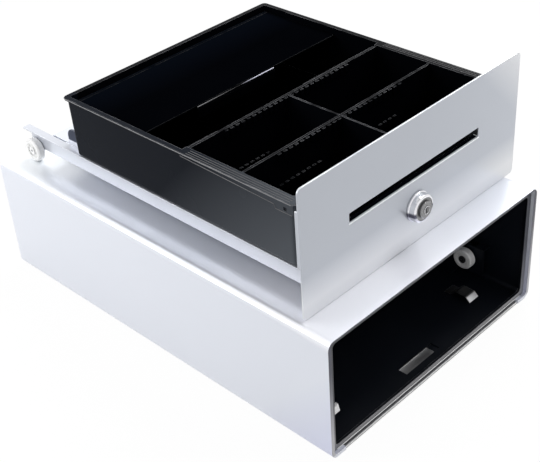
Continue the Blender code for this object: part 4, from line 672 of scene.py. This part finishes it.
class CASHDRAWER_OT_paint_housing(bpy.types.Operator):
    """Gives the housing's sheets their silver, grey, black and zinc skins"""

    bl_idname = "cash_drawer.paint_housing"
    bl_label = "Paint the housing"

    def execute(self, context):
        looks = context.scene.sheet_metal
        edge = looks.edge_radius
        low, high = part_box("outer_cover")
        self.paint_cover(looks, edge, low, high)
        # Painted shadow line along the plate's foot, painted shade under the frame and a painted highlight
        # on its front edge
        foot = shade(looks.bottom_colour, 0.3)
        under = surface("bottom_zinc_skin", looks.bottom_colour, fades=[
            (FRONT, -low.y - 2 * looks.hem_foot, -low.y - looks.hem_foot, looks.gap_shade),
            (FRONT, -low.y - STRIP_RADII[0] * edge, -low.y - STRIP_RADII[1] * edge, looks.sill_strip_highlight),
            (DOWN, -low.z - FOOT_RADII[0] * edge, -low.z - FOOT_RADII[1] * edge, foot),
        ])
        dress(under, "bottom_plate")
        black = surface("inner_black_paint", looks.chassis_colour, edge)
        dress(black, "inner_chassis", "runner_left", "runner_right")
        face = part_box("front_frame")[0].y
        # Painted highlight along the frame's upward edges, painted shade towards its top and on its return
        # behind the front
        rim = surface("frame_grey_paint", looks.frame_colour, edge, (shade(looks.frame_colour, 2.5), edge), [
            (UP, low.z + looks.hem_foot * 2, (low.z + high.z) / 2, looks.frame_shade),
            (BACK, face + RETURN_RADII[0] * edge, face + RETURN_RADII[1] * edge, looks.chassis_colour),
        ])
        dress(rim, "front_frame")
        return {"FINISHED"}

    def paint_cover(self, looks, edge, low, high):
        paint = looks.cover_colour
        rear_highlight_way = Vector((0, 1, looks.roof_weight))
        front_highlight_way = Vector((-ROOF_SLANT, -1, looks.roof_weight))
        hem_reflection_way = Vector((0, -looks.hem_weight, -1))
        roof = looks.roof_weight * high.z
        hem = looks.hem_weight * -low.y
        shadow = [value * tone for value, tone in zip(paint[:3], SHADOW_TONES)] + [1.0]
        # Painted highlight along the cover's upward edges
        cover = surface("cover_silver_paint", paint, edge, (shade(paint, 1.2), edge), [
            (FRONT + DOWN, -low.y - high.z * SHADOW_SHARES[0], -low.y - high.z * SHADOW_SHARES[1], shadow),
            # Painted highlight towards the rear of the roof, and painted light along its front
            (rear_highlight_way, roof + high.y / 2, roof + high.y, shade(paint, 1.3)),
            (front_highlight_way, roof - low.y * ROOF_START_SHARE, roof - low.y, looks.roof_front_highlight),
            # Painted reflection on the front hem: dark at the top, paler towards the foot
            (FRONT, -low.y - edge, -low.y, looks.hem_dark_reflection),
            (hem_reflection_way, hem - high.z * HEM_SHARES[0], hem - high.z * HEM_SHARES[1], looks.hem_pale_reflection),
            (DOWN, -low.z - looks.hem_foot, -low.z - looks.hem_foot / 2, paint),
        ])
        dress(cover, "outer_cover", "rear_panel")


class CASHDRAWER_OT_paint_drawer(bpy.types.Operator):
    """Gives the front panel, the pan and the rails their silver paint"""

    bl_idname = "cash_drawer.paint_drawer"
    bl_label = "Paint the drawer"

    def execute(self, context):
        looks = context.scene.sheet_metal
        edge = looks.edge_radius
        paint = looks.drawer_colour
        low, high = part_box("drawer_panel")
        # Painted light to the right and in the top right corner, a painted reflection on the foot, and
        # painted edge highlight
        panel = surface("panel_silver_paint", paint, edge, (shade(paint, 2), edge * PANEL_HIGHLIGHT_RADII), [
            (RIGHT, (low.x + high.x) / 2, high.x, shade(paint, 1.08)),
            (RIGHT + UP, high.z + high.x * CORNER_START_SHARE, high.z + high.x, looks.panel_painted_light),
            (DOWN, -low.z - looks.skirt_height, -low.z - looks.skirt_height / 3, looks.panel_painted_light),
        ])
        dress(panel, "drawer_panel")
        paint = looks.cover_colour
        dress(surface("pan_silver_paint", paint, edge), "drawer_pan")
        low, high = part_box("side_rail_left")
        tab = high.z - looks.tab_height
        # The cover's paint darkened as painted shade, with painted light towards the rear, painted shade on
        # the tab and painted edge highlight
        rail = surface("rail_silver_paint", paint, edge, (shade(paint, 1.2), edge), [
            (BACK, (low.y + high.y) / 2, high.y, shade(paint, 0.85)),
            (UP, tab, tab + edge, looks.tab_shade),
        ])
        dress(rail, "side_rail_left", "side_rail_right")
        return {"FINISHED"}


class CASHDRAWER_OT_mould_tray(bpy.types.Operator):
    """Gives the insert tray, its flap and its dividers their black moulded plastic"""

    bl_idname = "cash_drawer.mould_tray"
    bl_label = "Mould the tray"

    def execute(self, context):
        looks = context.scene.plastics
        width = looks.rim_width
        low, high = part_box("insert_tray")
        near = -low.y - low.z
        far = -high.y - high.z
        inside = low.x + looks.wall_depth
        # Painted reflection on the outer wall, greyer towards its foot at the front, and painted highlight
        # on the rim
        tray = surface("tray_black_plastic", looks.wall_reflection, width, (looks.rim_highlight, width), [
            (FRONT + DOWN, (near + far) / 2, near, looks.wall_foot_reflection),
            (RIGHT, inside, inside + width, looks.tray_colour),
        ])
        dress(tray, "insert_tray")
        low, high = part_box("bill_flap")
        # The flap darkened as painted shade, with a painted sheen towards its rear and painted edge
        # highlight
        edge_highlight = (shade(looks.rim_highlight, 0.2), width)
        flap = surface("flap_black_plastic", looks.tray_colour, width, edge_highlight, [
            (BACK, (low.y + high.y) / 2, high.y, shade(looks.wall_reflection, 0.5)),
        ])
        dress(flap, "bill_flap")
        # Painted highlight along the dividers' upward edges
        edge_highlight = (shade(looks.rim_highlight, 1.3), width)
        divider = surface("divider_black_plastic", looks.tray_colour, width, edge_highlight)
        dress(divider, "coin_divider_front", "coin_divider_rear")
        return {"FINISHED"}


class CASHDRAWER_OT_plate_fittings(bpy.types.Operator):
    """Gives the wheels, pins, springs, latch, lock, coil and socket their finishes"""

    bl_idname = "cash_drawer.plate_fittings"
    bl_label = "Plate the fittings"

    def execute(self, context):
        metals = context.scene.sheet_metal
        plastics = context.scene.plastics
        self.plate_metals(metals)
        self.polish_lock(metals)
        nylon = surface("white_nylon", plastics.nylon_colour, metals.nylon_edge)
        dress(
            nylon, "rear_wheel_left", "rear_wheel_right", "housing_roller_left", "housing_roller_right",
            "glide_block", "wheel_pin_left", "wheel_pin_right",
        )
        copper = surface(
            "enamelled_winding", plastics.copper_colour, coat=COAT_SHARE, stretch=WINDING_STRETCH,
        )
        dress(copper, "solenoid_coil")
        socket = surface("socket_black_plastic", plastics.socket_colour, metals.turned_edge)
        dress(socket, "rear_socket", "drawer_switch")
        return {"FINISHED"}

    def plate_metals(self, metals):
        zinc = surface("zinc_plated_steel", metals.zinc_colour, metals.plated_edge)
        dress(
            zinc, "latch_bracket", "latch_hook", "solenoid_frame", "solenoid_plunger", "plunger_spring",
            "ejector_lever", "ejector_spring", "switch_lever", "striker", "lock_nut", "lock_cam",
            "cam_screw",
        )
        # The stop spring darkened as painted shade, with a painted highlight on its front end and on its
        # upward edges
        front = -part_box("stop_spring")[0].y
        tip = metals.spring_highlight_length
        edge_highlight = (shade(metals.zinc_colour, 1.4), metals.spring_highlight_width)
        spring = surface("spring_steel", metals.zinc_colour, metals.plated_edge, edge_highlight, [
            (FRONT, front - tip, front - tip / 2, shade(metals.zinc_colour, 1.3)),
        ])
        dress(spring, "stop_spring")
        pin = surface("dark_pin_steel", metals.pin_colour, metals.plated_edge, clouds=metals.pin_clouds)
        dress(pin, "roller_pin_left", "roller_pin_right", "latch_pin", "ejector_post")

    def polish_lock(self, metals):
        level = middle("lock_barrel").z
        band = metals.collar_radius
        bands = ((DARK_BAND_SHARES, metals.chrome_dark), (PALE_BAND_SHARES, metals.chrome_pale))
        # Painted reflection: a dark band and a paler one across the chrome barrel
        chrome = surface(
            "lock_polished_chrome", metals.chrome_colour, metals.turned_edge, clouds=metals.chrome_clouds,
            fades=[(DOWN, band * start - level, band * end - level, tone) for (start, end), tone in bands],
        )
        dress(chrome, "lock_barrel")
        # Painted highlight along the plug's upward edges
        edge_highlight = (shade(metals.zinc_colour, 1.5), metals.turned_edge)
        dress(surface("plug_brushed_steel", metals.zinc_colour, metals.turned_edge, edge_highlight), "lock_plug")


class CASHDRAWER_OT_wind_spring(bpy.types.Operator):
    """Winds the plunger's spring"""

    bl_idname = "cash_drawer.wind_spring"
    bl_label = "Wind the spring"

    def execute(self, context):
        metals = context.scene.sheet_metal
        low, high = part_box("plunger_spring")
        centre = middle("plunger_spring")
        wire = metals.spring_wire
        bpy.ops.object.select_all(action="DESELECT")
        bpy.ops.mesh.primitive_circle_add(
            vertices=WIRE_SIDES, radius=wire, location=(centre.x, centre.y, 0), rotation=(math.pi / 2, 0, 0),
        )
        coil = bpy.context.active_object
        bpy.ops.object.transform_apply(location=False, rotation=True, scale=False)
        bpy.ops.object.mode_set(mode="EDIT")
        bpy.ops.mesh.select_all(action="SELECT")
        bpy.ops.transform.translate(value=((high.x - low.x) / 2 - wire, 0, low.z + wire))
        bpy.ops.object.mode_set(mode="OBJECT")
        bpy.ops.object.modifier_add(type="SCREW")
        winding = coil.modifiers[-1]
        winding.iterations = metals.spring_turns
        winding.steps = metals.spring_steps
        winding.render_steps = metals.spring_steps
        winding.screw_offset = (high.z - low.z - 2 * wire) / metals.spring_turns
        bpy.ops.object.modifier_apply(modifier=winding.name)
        begin_piece(coil, "plunger_coil")
        for level in (low.z + wire, high.z - wire):
            pick_edges(coil, lambda first, last: all(
                spot.x > centre.x and abs(spot.y - centre.y) < wire / 10
                and abs(spot.z - level) < wire * COIL_END_SHARE
                for spot in (first, last)
            ))
            bpy.ops.mesh.edge_face_add()
        close_piece(coil, bpy.data.materials["zinc_plated_steel"], "housing")
        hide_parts("plunger_spring")
        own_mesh(coil)
        return {"FINISHED"}


class CASHDRAWER_OT_fit_lock(bpy.types.Operator):
    """Adds the gasket round the lock's plug and the collar round its keyhole"""

    bl_idname = "cash_drawer.fit_lock"
    bl_label = "Fit the lock"

    def execute(self, context):
        metals = context.scene.sheet_metal
        centre = middle("lock_plug")
        height = metals.gasket_height
        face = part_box("lock_barrel")[0].y + metals.lock_recess - height / 2
        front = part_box("lock_plug")[0].y
        rubber = surface("gasket_grey_rubber", metals.zinc_colour)
        steel = surface("keyhole_bright_steel", metals.zinc_colour)
        rings = (
            ("lock_gasket", face, metals.gasket_radius, metals.gasket_width, rubber, "drawer"),
            ("keyhole_collar", front, metals.collar_radius, metals.collar_width, steel, "lock"),
        )
        for name, place, radius, wall, material, body in rings:
            ring = add_disc(name, (centre.x, place, centre.z), radius, height, BACK)
            open_ring(ring, BACK, wall)
            round_sharp(height / 4)
            close_piece(ring, material, body)
        return {"FINISHED"}


class CASHDRAWER_OT_line_slot(bpy.types.Operator):
    """Adds a black sheet of painted shade in the media slot, and the rolled lip with a painted highlight
    under it
    """

    bl_idname = "cash_drawer.line_slot"
    bl_label = "Line the slot"

    def execute(self, context):
        metals = context.scene.sheet_metal
        low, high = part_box("drawer_panel")
        left = middle("drawer_panel").x - metals.media_slot_left
        right = middle("drawer_panel").x + metals.media_slot_right
        level = low.z + metals.media_slot_level
        height = metals.shade_sheet_height
        # A black sheet of painted shade on the slot's floor
        shade_piece = add_bar(
            "media_slot_liner", (left, low.y + metals.sheet_thickness, level),
            (right, high.y - height, level + height),
        )
        step_face(shade_piece, UP, height, -height / 2)
        close_piece(shade_piece, surface("liner_black_felt", context.scene.plastics.tray_colour), "drawer")
        # A rolled lip under the slot, in the cover's paint lightened as painted highlight
        thick = metals.slot_lip
        lip = add_bar(
            "media_slot_lip", (left - thick, low.y - thick * LIP_REACH_SHARE, level - thick),
            (right + thick, low.y + metals.sheet_thickness / 2, level),
        )
        round_sharp(thick * LIP_ROUND_SHARE)
        close_piece(lip, surface("slot_lip_bright_paint", metals.cover_colour), "drawer")
        return {"FINISHED"}


class CASHDRAWER_OT_fit_hubs(bpy.types.Operator):
    """Adds the raised rings and the rivet ends of the wheels and the rollers"""

    bl_idname = "cash_drawer.fit_hubs"
    bl_label = "Fit the hubs"

    def execute(self, context):
        metals = context.scene.sheet_metal
        height = metals.hub_height
        nylon = bpy.data.materials["white_nylon"]
        steel = surface("rivet_steel", metals.zinc_colour)
        wheels = (
            ("rear_wheel_left", -1, "wheel_left", "drawer"),
            ("rear_wheel_right", 1, "wheel_right", "drawer"),
            ("housing_roller_left", 1, "roller_left", "housing"),
            ("housing_roller_right", -1, "roller_right", "housing"),
        )
        for node, side, body, carrier in wheels:
            low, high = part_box(node)
            centre = middle(node)
            face = high.x if side > 0 else low.x
            ring = add_disc(body + "_hub_ring", (face, centre.y, centre.z), metals.hub_radius, height, RIGHT)
            open_ring(ring, RIGHT, metals.hub_width)
            round_sharp(height / 4)
            close_piece(ring, nylon, body)
            rivet = add_disc(
                body + "_rivet", (face + side * height / 2, centre.y, centre.z), metals.rivet_radius, height,
                RIGHT, RIVET_SIDES,
            )
            step_face(rivet, RIGHT * side, metals.rivet_radius / 3, height / 3)
            close_piece(rivet, steel, carrier)
        return {"FINISHED"}


class CASHDRAWER_OT_fit_screws(bpy.types.Operator):
    """Adds the cross-head screws that hold the rear panel"""

    bl_idname = "cash_drawer.fit_screws"
    bl_label = "Fit the screws"

    def execute(self, context):
        metals = context.scene.sheet_metal
        low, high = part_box("rear_panel")
        inset = metals.screw_inset
        height = metals.screw_height
        radius = metals.screw_radius
        # Painted highlight along the upward edges of the screw heads
        edge_highlight = (shade(metals.zinc_colour, 1.5), metals.hub_height / 2)
        steel = surface("screw_steel", metals.zinc_colour, edge_highlight=edge_highlight)
        spot = Vector((low.x + inset, high.y, low.z + inset))
        head = add_disc("rear_screw_1", spot + BACK * height / 2, radius, height, BACK, SCREW_SIDES)
        round_face(head, BACK, height / 2, 3)
        bpy.ops.object.mode_set(mode="OBJECT")
        reach = radius * CROSS_REACH_SHARE
        half = radius * CROSS_WIDTH_SHARE
        for across, along in ((half, reach), (reach, half)):
            cutter = add_bar(
                "cross_cutter", spot + Vector((-across, height / 2, -along)),
                spot + Vector((across, 2 * height, along)),
            )
            bpy.ops.object.mode_set(mode="OBJECT")
            bpy.ops.object.select_all(action="DESELECT")
            head.select_set(True)
            context.view_layer.objects.active = head
            cut = head.modifiers.new("cross", "BOOLEAN")
            cut.operation = "DIFFERENCE"
            cut.object = cutter
            bpy.ops.object.modifier_apply(modifier=cut.name)
            bpy.data.objects.remove(cutter)
        bpy.ops.object.mode_set(mode="EDIT")
        close_piece(head, steel, "housing")
        width = high.x - low.x - 2 * inset
        rise = high.z - low.z - 2 * inset
        for number, offset in ((2, (width, 0, 0)), (3, (0, 0, rise)), (4, (width, 0, rise))):
            copy_piece(head, "rear_screw_%d" % number, "housing", offset)
        return {"FINISHED"}


class CASHDRAWER_OT_trim_tray(bpy.types.Operator):
    """Adds the fine beads of painted highlight along the tray's rim and along its skirt"""

    bl_idname = "cash_drawer.trim_tray"
    bl_label = "Trim the tray"

    def execute(self, context):
        looks = context.scene.plastics
        low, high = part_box("insert_tray")
        bead = looks.bead_width
        across = (low.x + high.x) / 2
        rim = add_bar(
            "tray_rim_bead", (low.x - bead / 2, low.y - bead / 2, high.z - 2 * bead),
            (high.x + bead / 2, high.y + bead / 2, high.z - bead),
        )
        pick_edges(rim, lambda first, last: abs(first.z - last.z) > bead / 2)
        bpy.ops.mesh.bevel(offset=looks.rim_corner, segments=5, affect="EDGES")
        open_ring(rim, UP, bead)
        round_sharp(bead / 4, 1)
        # Grey bead of painted highlight round the rim, and strips of it on the wide rim
        close_piece(rim, surface("bead_grey_plastic", looks.bead_painted_highlight), "tray")
        dark = surface("rim_bead_black_plastic", looks.bead_painted_highlight)
        for number in range(3):
            left = low.x + looks.bead_pitch * (number + STRIP_START_SHARE)
            strip = add_bar(
                "rim_strip_left_%d" % (number + 1), (left, low.y + looks.bead_pitch * 2, high.z - bead / 2),
                (left + bead, low.y + looks.strip_length, high.z + bead / 2),
            )
            round_face(strip, UP, bead / 3)
            close_piece(strip, dark, "tray")
            copy_piece(strip, "rim_strip_right_%d" % (number + 1), "tray", mirrored=across)
        self.edge_skirt(looks, low, high, across)
        return {"FINISHED"}

    def edge_skirt(self, looks, low, high, across):
        bead = looks.bead_width
        drop = looks.lug_drop
        level = high.z - looks.skirt_front
        lug = low.y + looks.skirt_lug
        front = low.y + drop / 2
        rear = high.y - looks.bill_length
        edge = add_bar(
            "skirt_edge_left", (low.x - bead / 2, front, level - bead), (low.x + bead, rear, level),
        )
        pick_edges(edge, lambda first, last: abs(first.y - last.y) > bead)
        bpy.ops.mesh.subdivide(number_cuts=2)
        # From the front the bead follows the lug's foot, steps up to the skirt and rises along it
        climb = looks.skirt_front - looks.skirt_rear
        steps = ((front, -drop), (lug - drop / 2, -drop), (lug, 0), (rear, climb))
        for number, (place, rise) in enumerate(steps):
            start = front + (rear - front) * number / 3
            pick_edges(edge, lambda first, last: max(abs(first.y - start), abs(last.y - start)) < bead)
            bpy.ops.transform.translate(value=(0, place - start, rise))
        round_sharp(bead / 4, 1)
        # Grey bead of painted highlight along the skirt's edge
        close_piece(edge, surface("skirt_black_plastic", looks.bead_painted_highlight), "tray")
        copy_piece(edge, "skirt_edge_right", "tray", mirrored=across)


class CASHDRAWER_OT_trim_flap(bpy.types.Operator):
    """Adds a bead of painted highlight along the bend of the flap's lip"""

    bl_idname = "cash_drawer.trim_flap"
    bl_label = "Trim the flap"

    def execute(self, context):
        looks = context.scene.plastics
        low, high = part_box("bill_flap")
        bead = looks.bead_width
        start = low.x + looks.lip_start
        end = high.x - looks.lip_end
        centre = (start + end) / 2
        # Painted highlight along the lip: grey at the left, dark in the middle, bright at the right
        shine = surface("lip_polished_plastic", looks.bead_painted_highlight, fades=[
            (RIGHT, start + LIP_FADE_BEADS * bead, centre, looks.tray_colour),
            (RIGHT, centre + LIP_FADE_BEADS * bead, end - LIP_END_BEADS * bead, looks.lip_painted_highlight),
        ])
        bend = low.y + looks.lip_bend * BEND_PLACE_SHARE
        level = high.z - looks.lip_level
        half = bead * BEND_THICK_SHARE
        lip = add_bar(
            "flap_lip_bead", (start, bend - half, level - half), (end, bend + half, level + half),
        )
        pick_edges(lip, lambda first, last: abs(first.x - last.x) > bead)
        bpy.ops.mesh.bevel(offset=bead * BEND_ROUND_SHARE, segments=3, affect="EDGES")
        close_piece(lip, shine, "flap")
        return {"FINISHED"}


class CASHDRAWER_OT_line_opening(bpy.types.Operator):
    """Adds the bead of painted highlight along the sill, and the leaf and the stop that lie in the floor
    slot
    """

    bl_idname = "cash_drawer.line_opening"
    bl_label = "Line the opening"

    def execute(self, context):
        looks = context.scene.sheet_metal
        bead = looks.sill_bead
        low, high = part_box("front_frame")
        inset = looks.screw_inset / 2
        # A bright bead of painted highlight along the sill
        sill = add_bar(
            "sill_bead", (low.x + inset, low.y - bead, low.z),
            (high.x - inset, low.y + bead / 2, low.z + bead),
        )
        round_face(sill, FRONT, bead / 3)
        close_piece(sill, surface("sill_bright_zinc", looks.zinc_colour), "housing")
        half = looks.slot_width / 2
        # Painted highlight along the leaf's upward edges
        edge_highlight = (shade(looks.zinc_colour, 1.2), bead)
        metal = surface("slot_leaf_steel", looks.zinc_colour, edge_highlight=edge_highlight, fades=[
            (RIGHT, -half, half, shade(looks.zinc_colour, 0.06)),
        ])
        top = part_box("bottom_plate")[1].z
        near = -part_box("outer_cover")[1].y + looks.slot_front + bead / 4
        far = near + looks.slot_length - bead / 2
        split = half - looks.slot_stop
        leaf = add_bar("slot_leaf", (bead / 4 - half, near, top), (split, far, top + bead))
        step_face(leaf, UP, bead, -bead * LEAF_DEPTH_SHARE)
        close_piece(leaf, metal, "housing")
        stop = add_bar("slot_stop", (split + bead / 4, near, top), (half - bead / 4, far, top + bead))
        round_sharp(bead / 4)
        close_piece(stop, bpy.data.materials["inner_black_paint"], "housing")
        return {"FINISHED"}


class CASHDRAWER_OT_set_stage(bpy.types.Operator):
    """Sets up the pale floor, the soft lamps and the camera"""

    bl_idname = "cash_drawer.set_stage"
    bl_label = "Set the stage"

    def execute(self, context):
        looks = context.scene.stage_settings
        self.lay_floor(looks)
        self.light_room(context.scene, looks)
        for name, (place, target, width, power) in LAMPS.items():
            self.hang_lamp(name, Vector(place), Vector(target), width, getattr(looks, power))
        self.place_camera(context.scene, looks)
        context.scene.view_settings.view_transform = "Standard"
        return {"FINISHED"}

    def mix_seen(self, tree, share, lit, white, output):
        """Mixes plain white over a lit shader, for the rays from the camera, a mirror or glass."""
        path = add_node(tree, "ShaderNodeLightPath", {}).outputs
        direct = add_maths(tree, "MAXIMUM", path["Is Camera Ray"], path["Is Glossy Ray"])
        seen = add_maths(tree, "MAXIMUM", direct, path["Is Transmission Ray"])
        part = add_maths(tree, "MULTIPLY", seen, share)
        mix = add_node(tree, "ShaderNodeMixShader", {"Fac": part, 1: lit, 2: white})
        fill(tree, tree.nodes[output], {"Surface": mix.outputs["Shader"]})

    def lay_floor(self, looks):
        bpy.ops.object.select_all(action="DESELECT")
        bpy.ops.mesh.primitive_plane_add(size=looks.floor_width, location=(0, 0, -looks.floor_gap))
        floor = bpy.context.active_object
        floor.name = "floor"
        material = bpy.data.materials.new("pale_floor")
        material.use_nodes = True
        tree = material.node_tree
        shader = fill(tree, tree.nodes["Principled BSDF"], {
            "Base Color": looks.floor_colour, "Roughness": looks.floor_roughness,
        })
        white = add_node(tree, "ShaderNodeEmission", {"Color": WHITE, "Strength": 1.0})
        self.mix_seen(
            tree, looks.floor_white, shader.outputs["BSDF"], white.outputs["Emission"], "Material Output",
        )
        floor.data.materials.append(material)

    def light_room(self, scene, looks):
        world = bpy.data.worlds.new("studio")
        world.use_nodes = True
        scene.world = world
        tree = world.node_tree
        room = fill(tree, tree.nodes["Background"], {"Color": WHITE, "Strength": looks.room_light})
        white = add_node(tree, "ShaderNodeBackground", {"Color": WHITE, "Strength": 1.0})
        self.mix_seen(tree, 1.0, room.outputs["Background"], white.outputs["Background"], "World Output")

    def hang_lamp(self, name, place, target, width, power):
        data = bpy.data.lights.new(name, "AREA")
        data.shape = "SQUARE"
        data.size = width
        data.energy = power
        lamp = bpy.data.objects.new(name, data)
        lamp.location = place
        lamp.rotation_euler = (target - place).to_track_quat("-Z", "Y").to_euler()
        bpy.context.scene.collection.objects.link(lamp)

    def place_camera(self, scene, looks):
        azimuth = looks.camera_azimuth
        elevation = looks.camera_elevation
        back = Vector((
            math.sin(azimuth) * math.cos(elevation), -math.cos(azimuth) * math.cos(elevation),
            math.sin(elevation),
        ))
        right = Vector((math.cos(azimuth), math.sin(azimuth), 0))
        up = back.cross(right)
        turn = Matrix((right, up, back)).transposed() @ Matrix.Rotation(looks.camera_roll, 3, "Z")
        data = bpy.data.cameras.new("camera")
        data.sensor_fit = "HORIZONTAL"
        data.lens = looks.focal_length
        data.clip_start, data.clip_end = CLIP_RANGE
        camera = bpy.data.objects.new("camera", data)
        camera.matrix_world = Matrix.Translation(looks.camera_place) @ turn.to_4x4()
        scene.collection.objects.link(camera)
        scene.camera = camera


SETTINGS = {
    "sheet_metal": SheetMetalSettings, "plastics": PlasticSettings, "stage_settings": StageSettings,
}
OPERATORS = (
    CASHDRAWER_OT_paint_housing, CASHDRAWER_OT_paint_drawer, CASHDRAWER_OT_mould_tray,
    CASHDRAWER_OT_plate_fittings, CASHDRAWER_OT_wind_spring, CASHDRAWER_OT_fit_lock,
    CASHDRAWER_OT_line_slot, CASHDRAWER_OT_fit_hubs, CASHDRAWER_OT_fit_screws, CASHDRAWER_OT_trim_tray,
    CASHDRAWER_OT_trim_flap, CASHDRAWER_OT_line_opening, CASHDRAWER_OT_set_stage,
)


class CASHDRAWER_PT_pieces(bpy.types.Panel):
    """Settings and steps of the cash drawer"""

    bl_label = "Cash drawer"
    bl_idname = "CASHDRAWER_PT_pieces"
    bl_space_type = "VIEW_3D"
    bl_region_type = "UI"
    bl_category = "Cash drawer"

    def draw(self, context):
        layout = self.layout
        for name in SETTINGS:
            settings = getattr(context.scene, name)
            box = layout.box()
            for key in settings.bl_rna.properties.keys():
                if key not in {"rna_type", "name"}:
                    box.prop(settings, key)
        for step in OPERATORS:
            layout.operator(step.bl_idname)


CLASSES = (*SETTINGS.values(), *OPERATORS, CASHDRAWER_PT_pieces)


def register():
    for kind in CLASSES:
        bpy.utils.register_class(kind)
    for name, kind in SETTINGS.items():
        setattr(bpy.types.Scene, name, PointerProperty(type=kind))


def unregister():
    for name in SETTINGS:
        delattr(bpy.types.Scene, name)
    for kind in reversed(CLASSES):
        bpy.utils.unregister_class(kind)


def main():
    register()
    for step in OPERATORS:
        category, name = step.bl_idname.split(".")
        getattr(getattr(bpy.ops, category), name)()


if __name__ == "__main__":
    main()
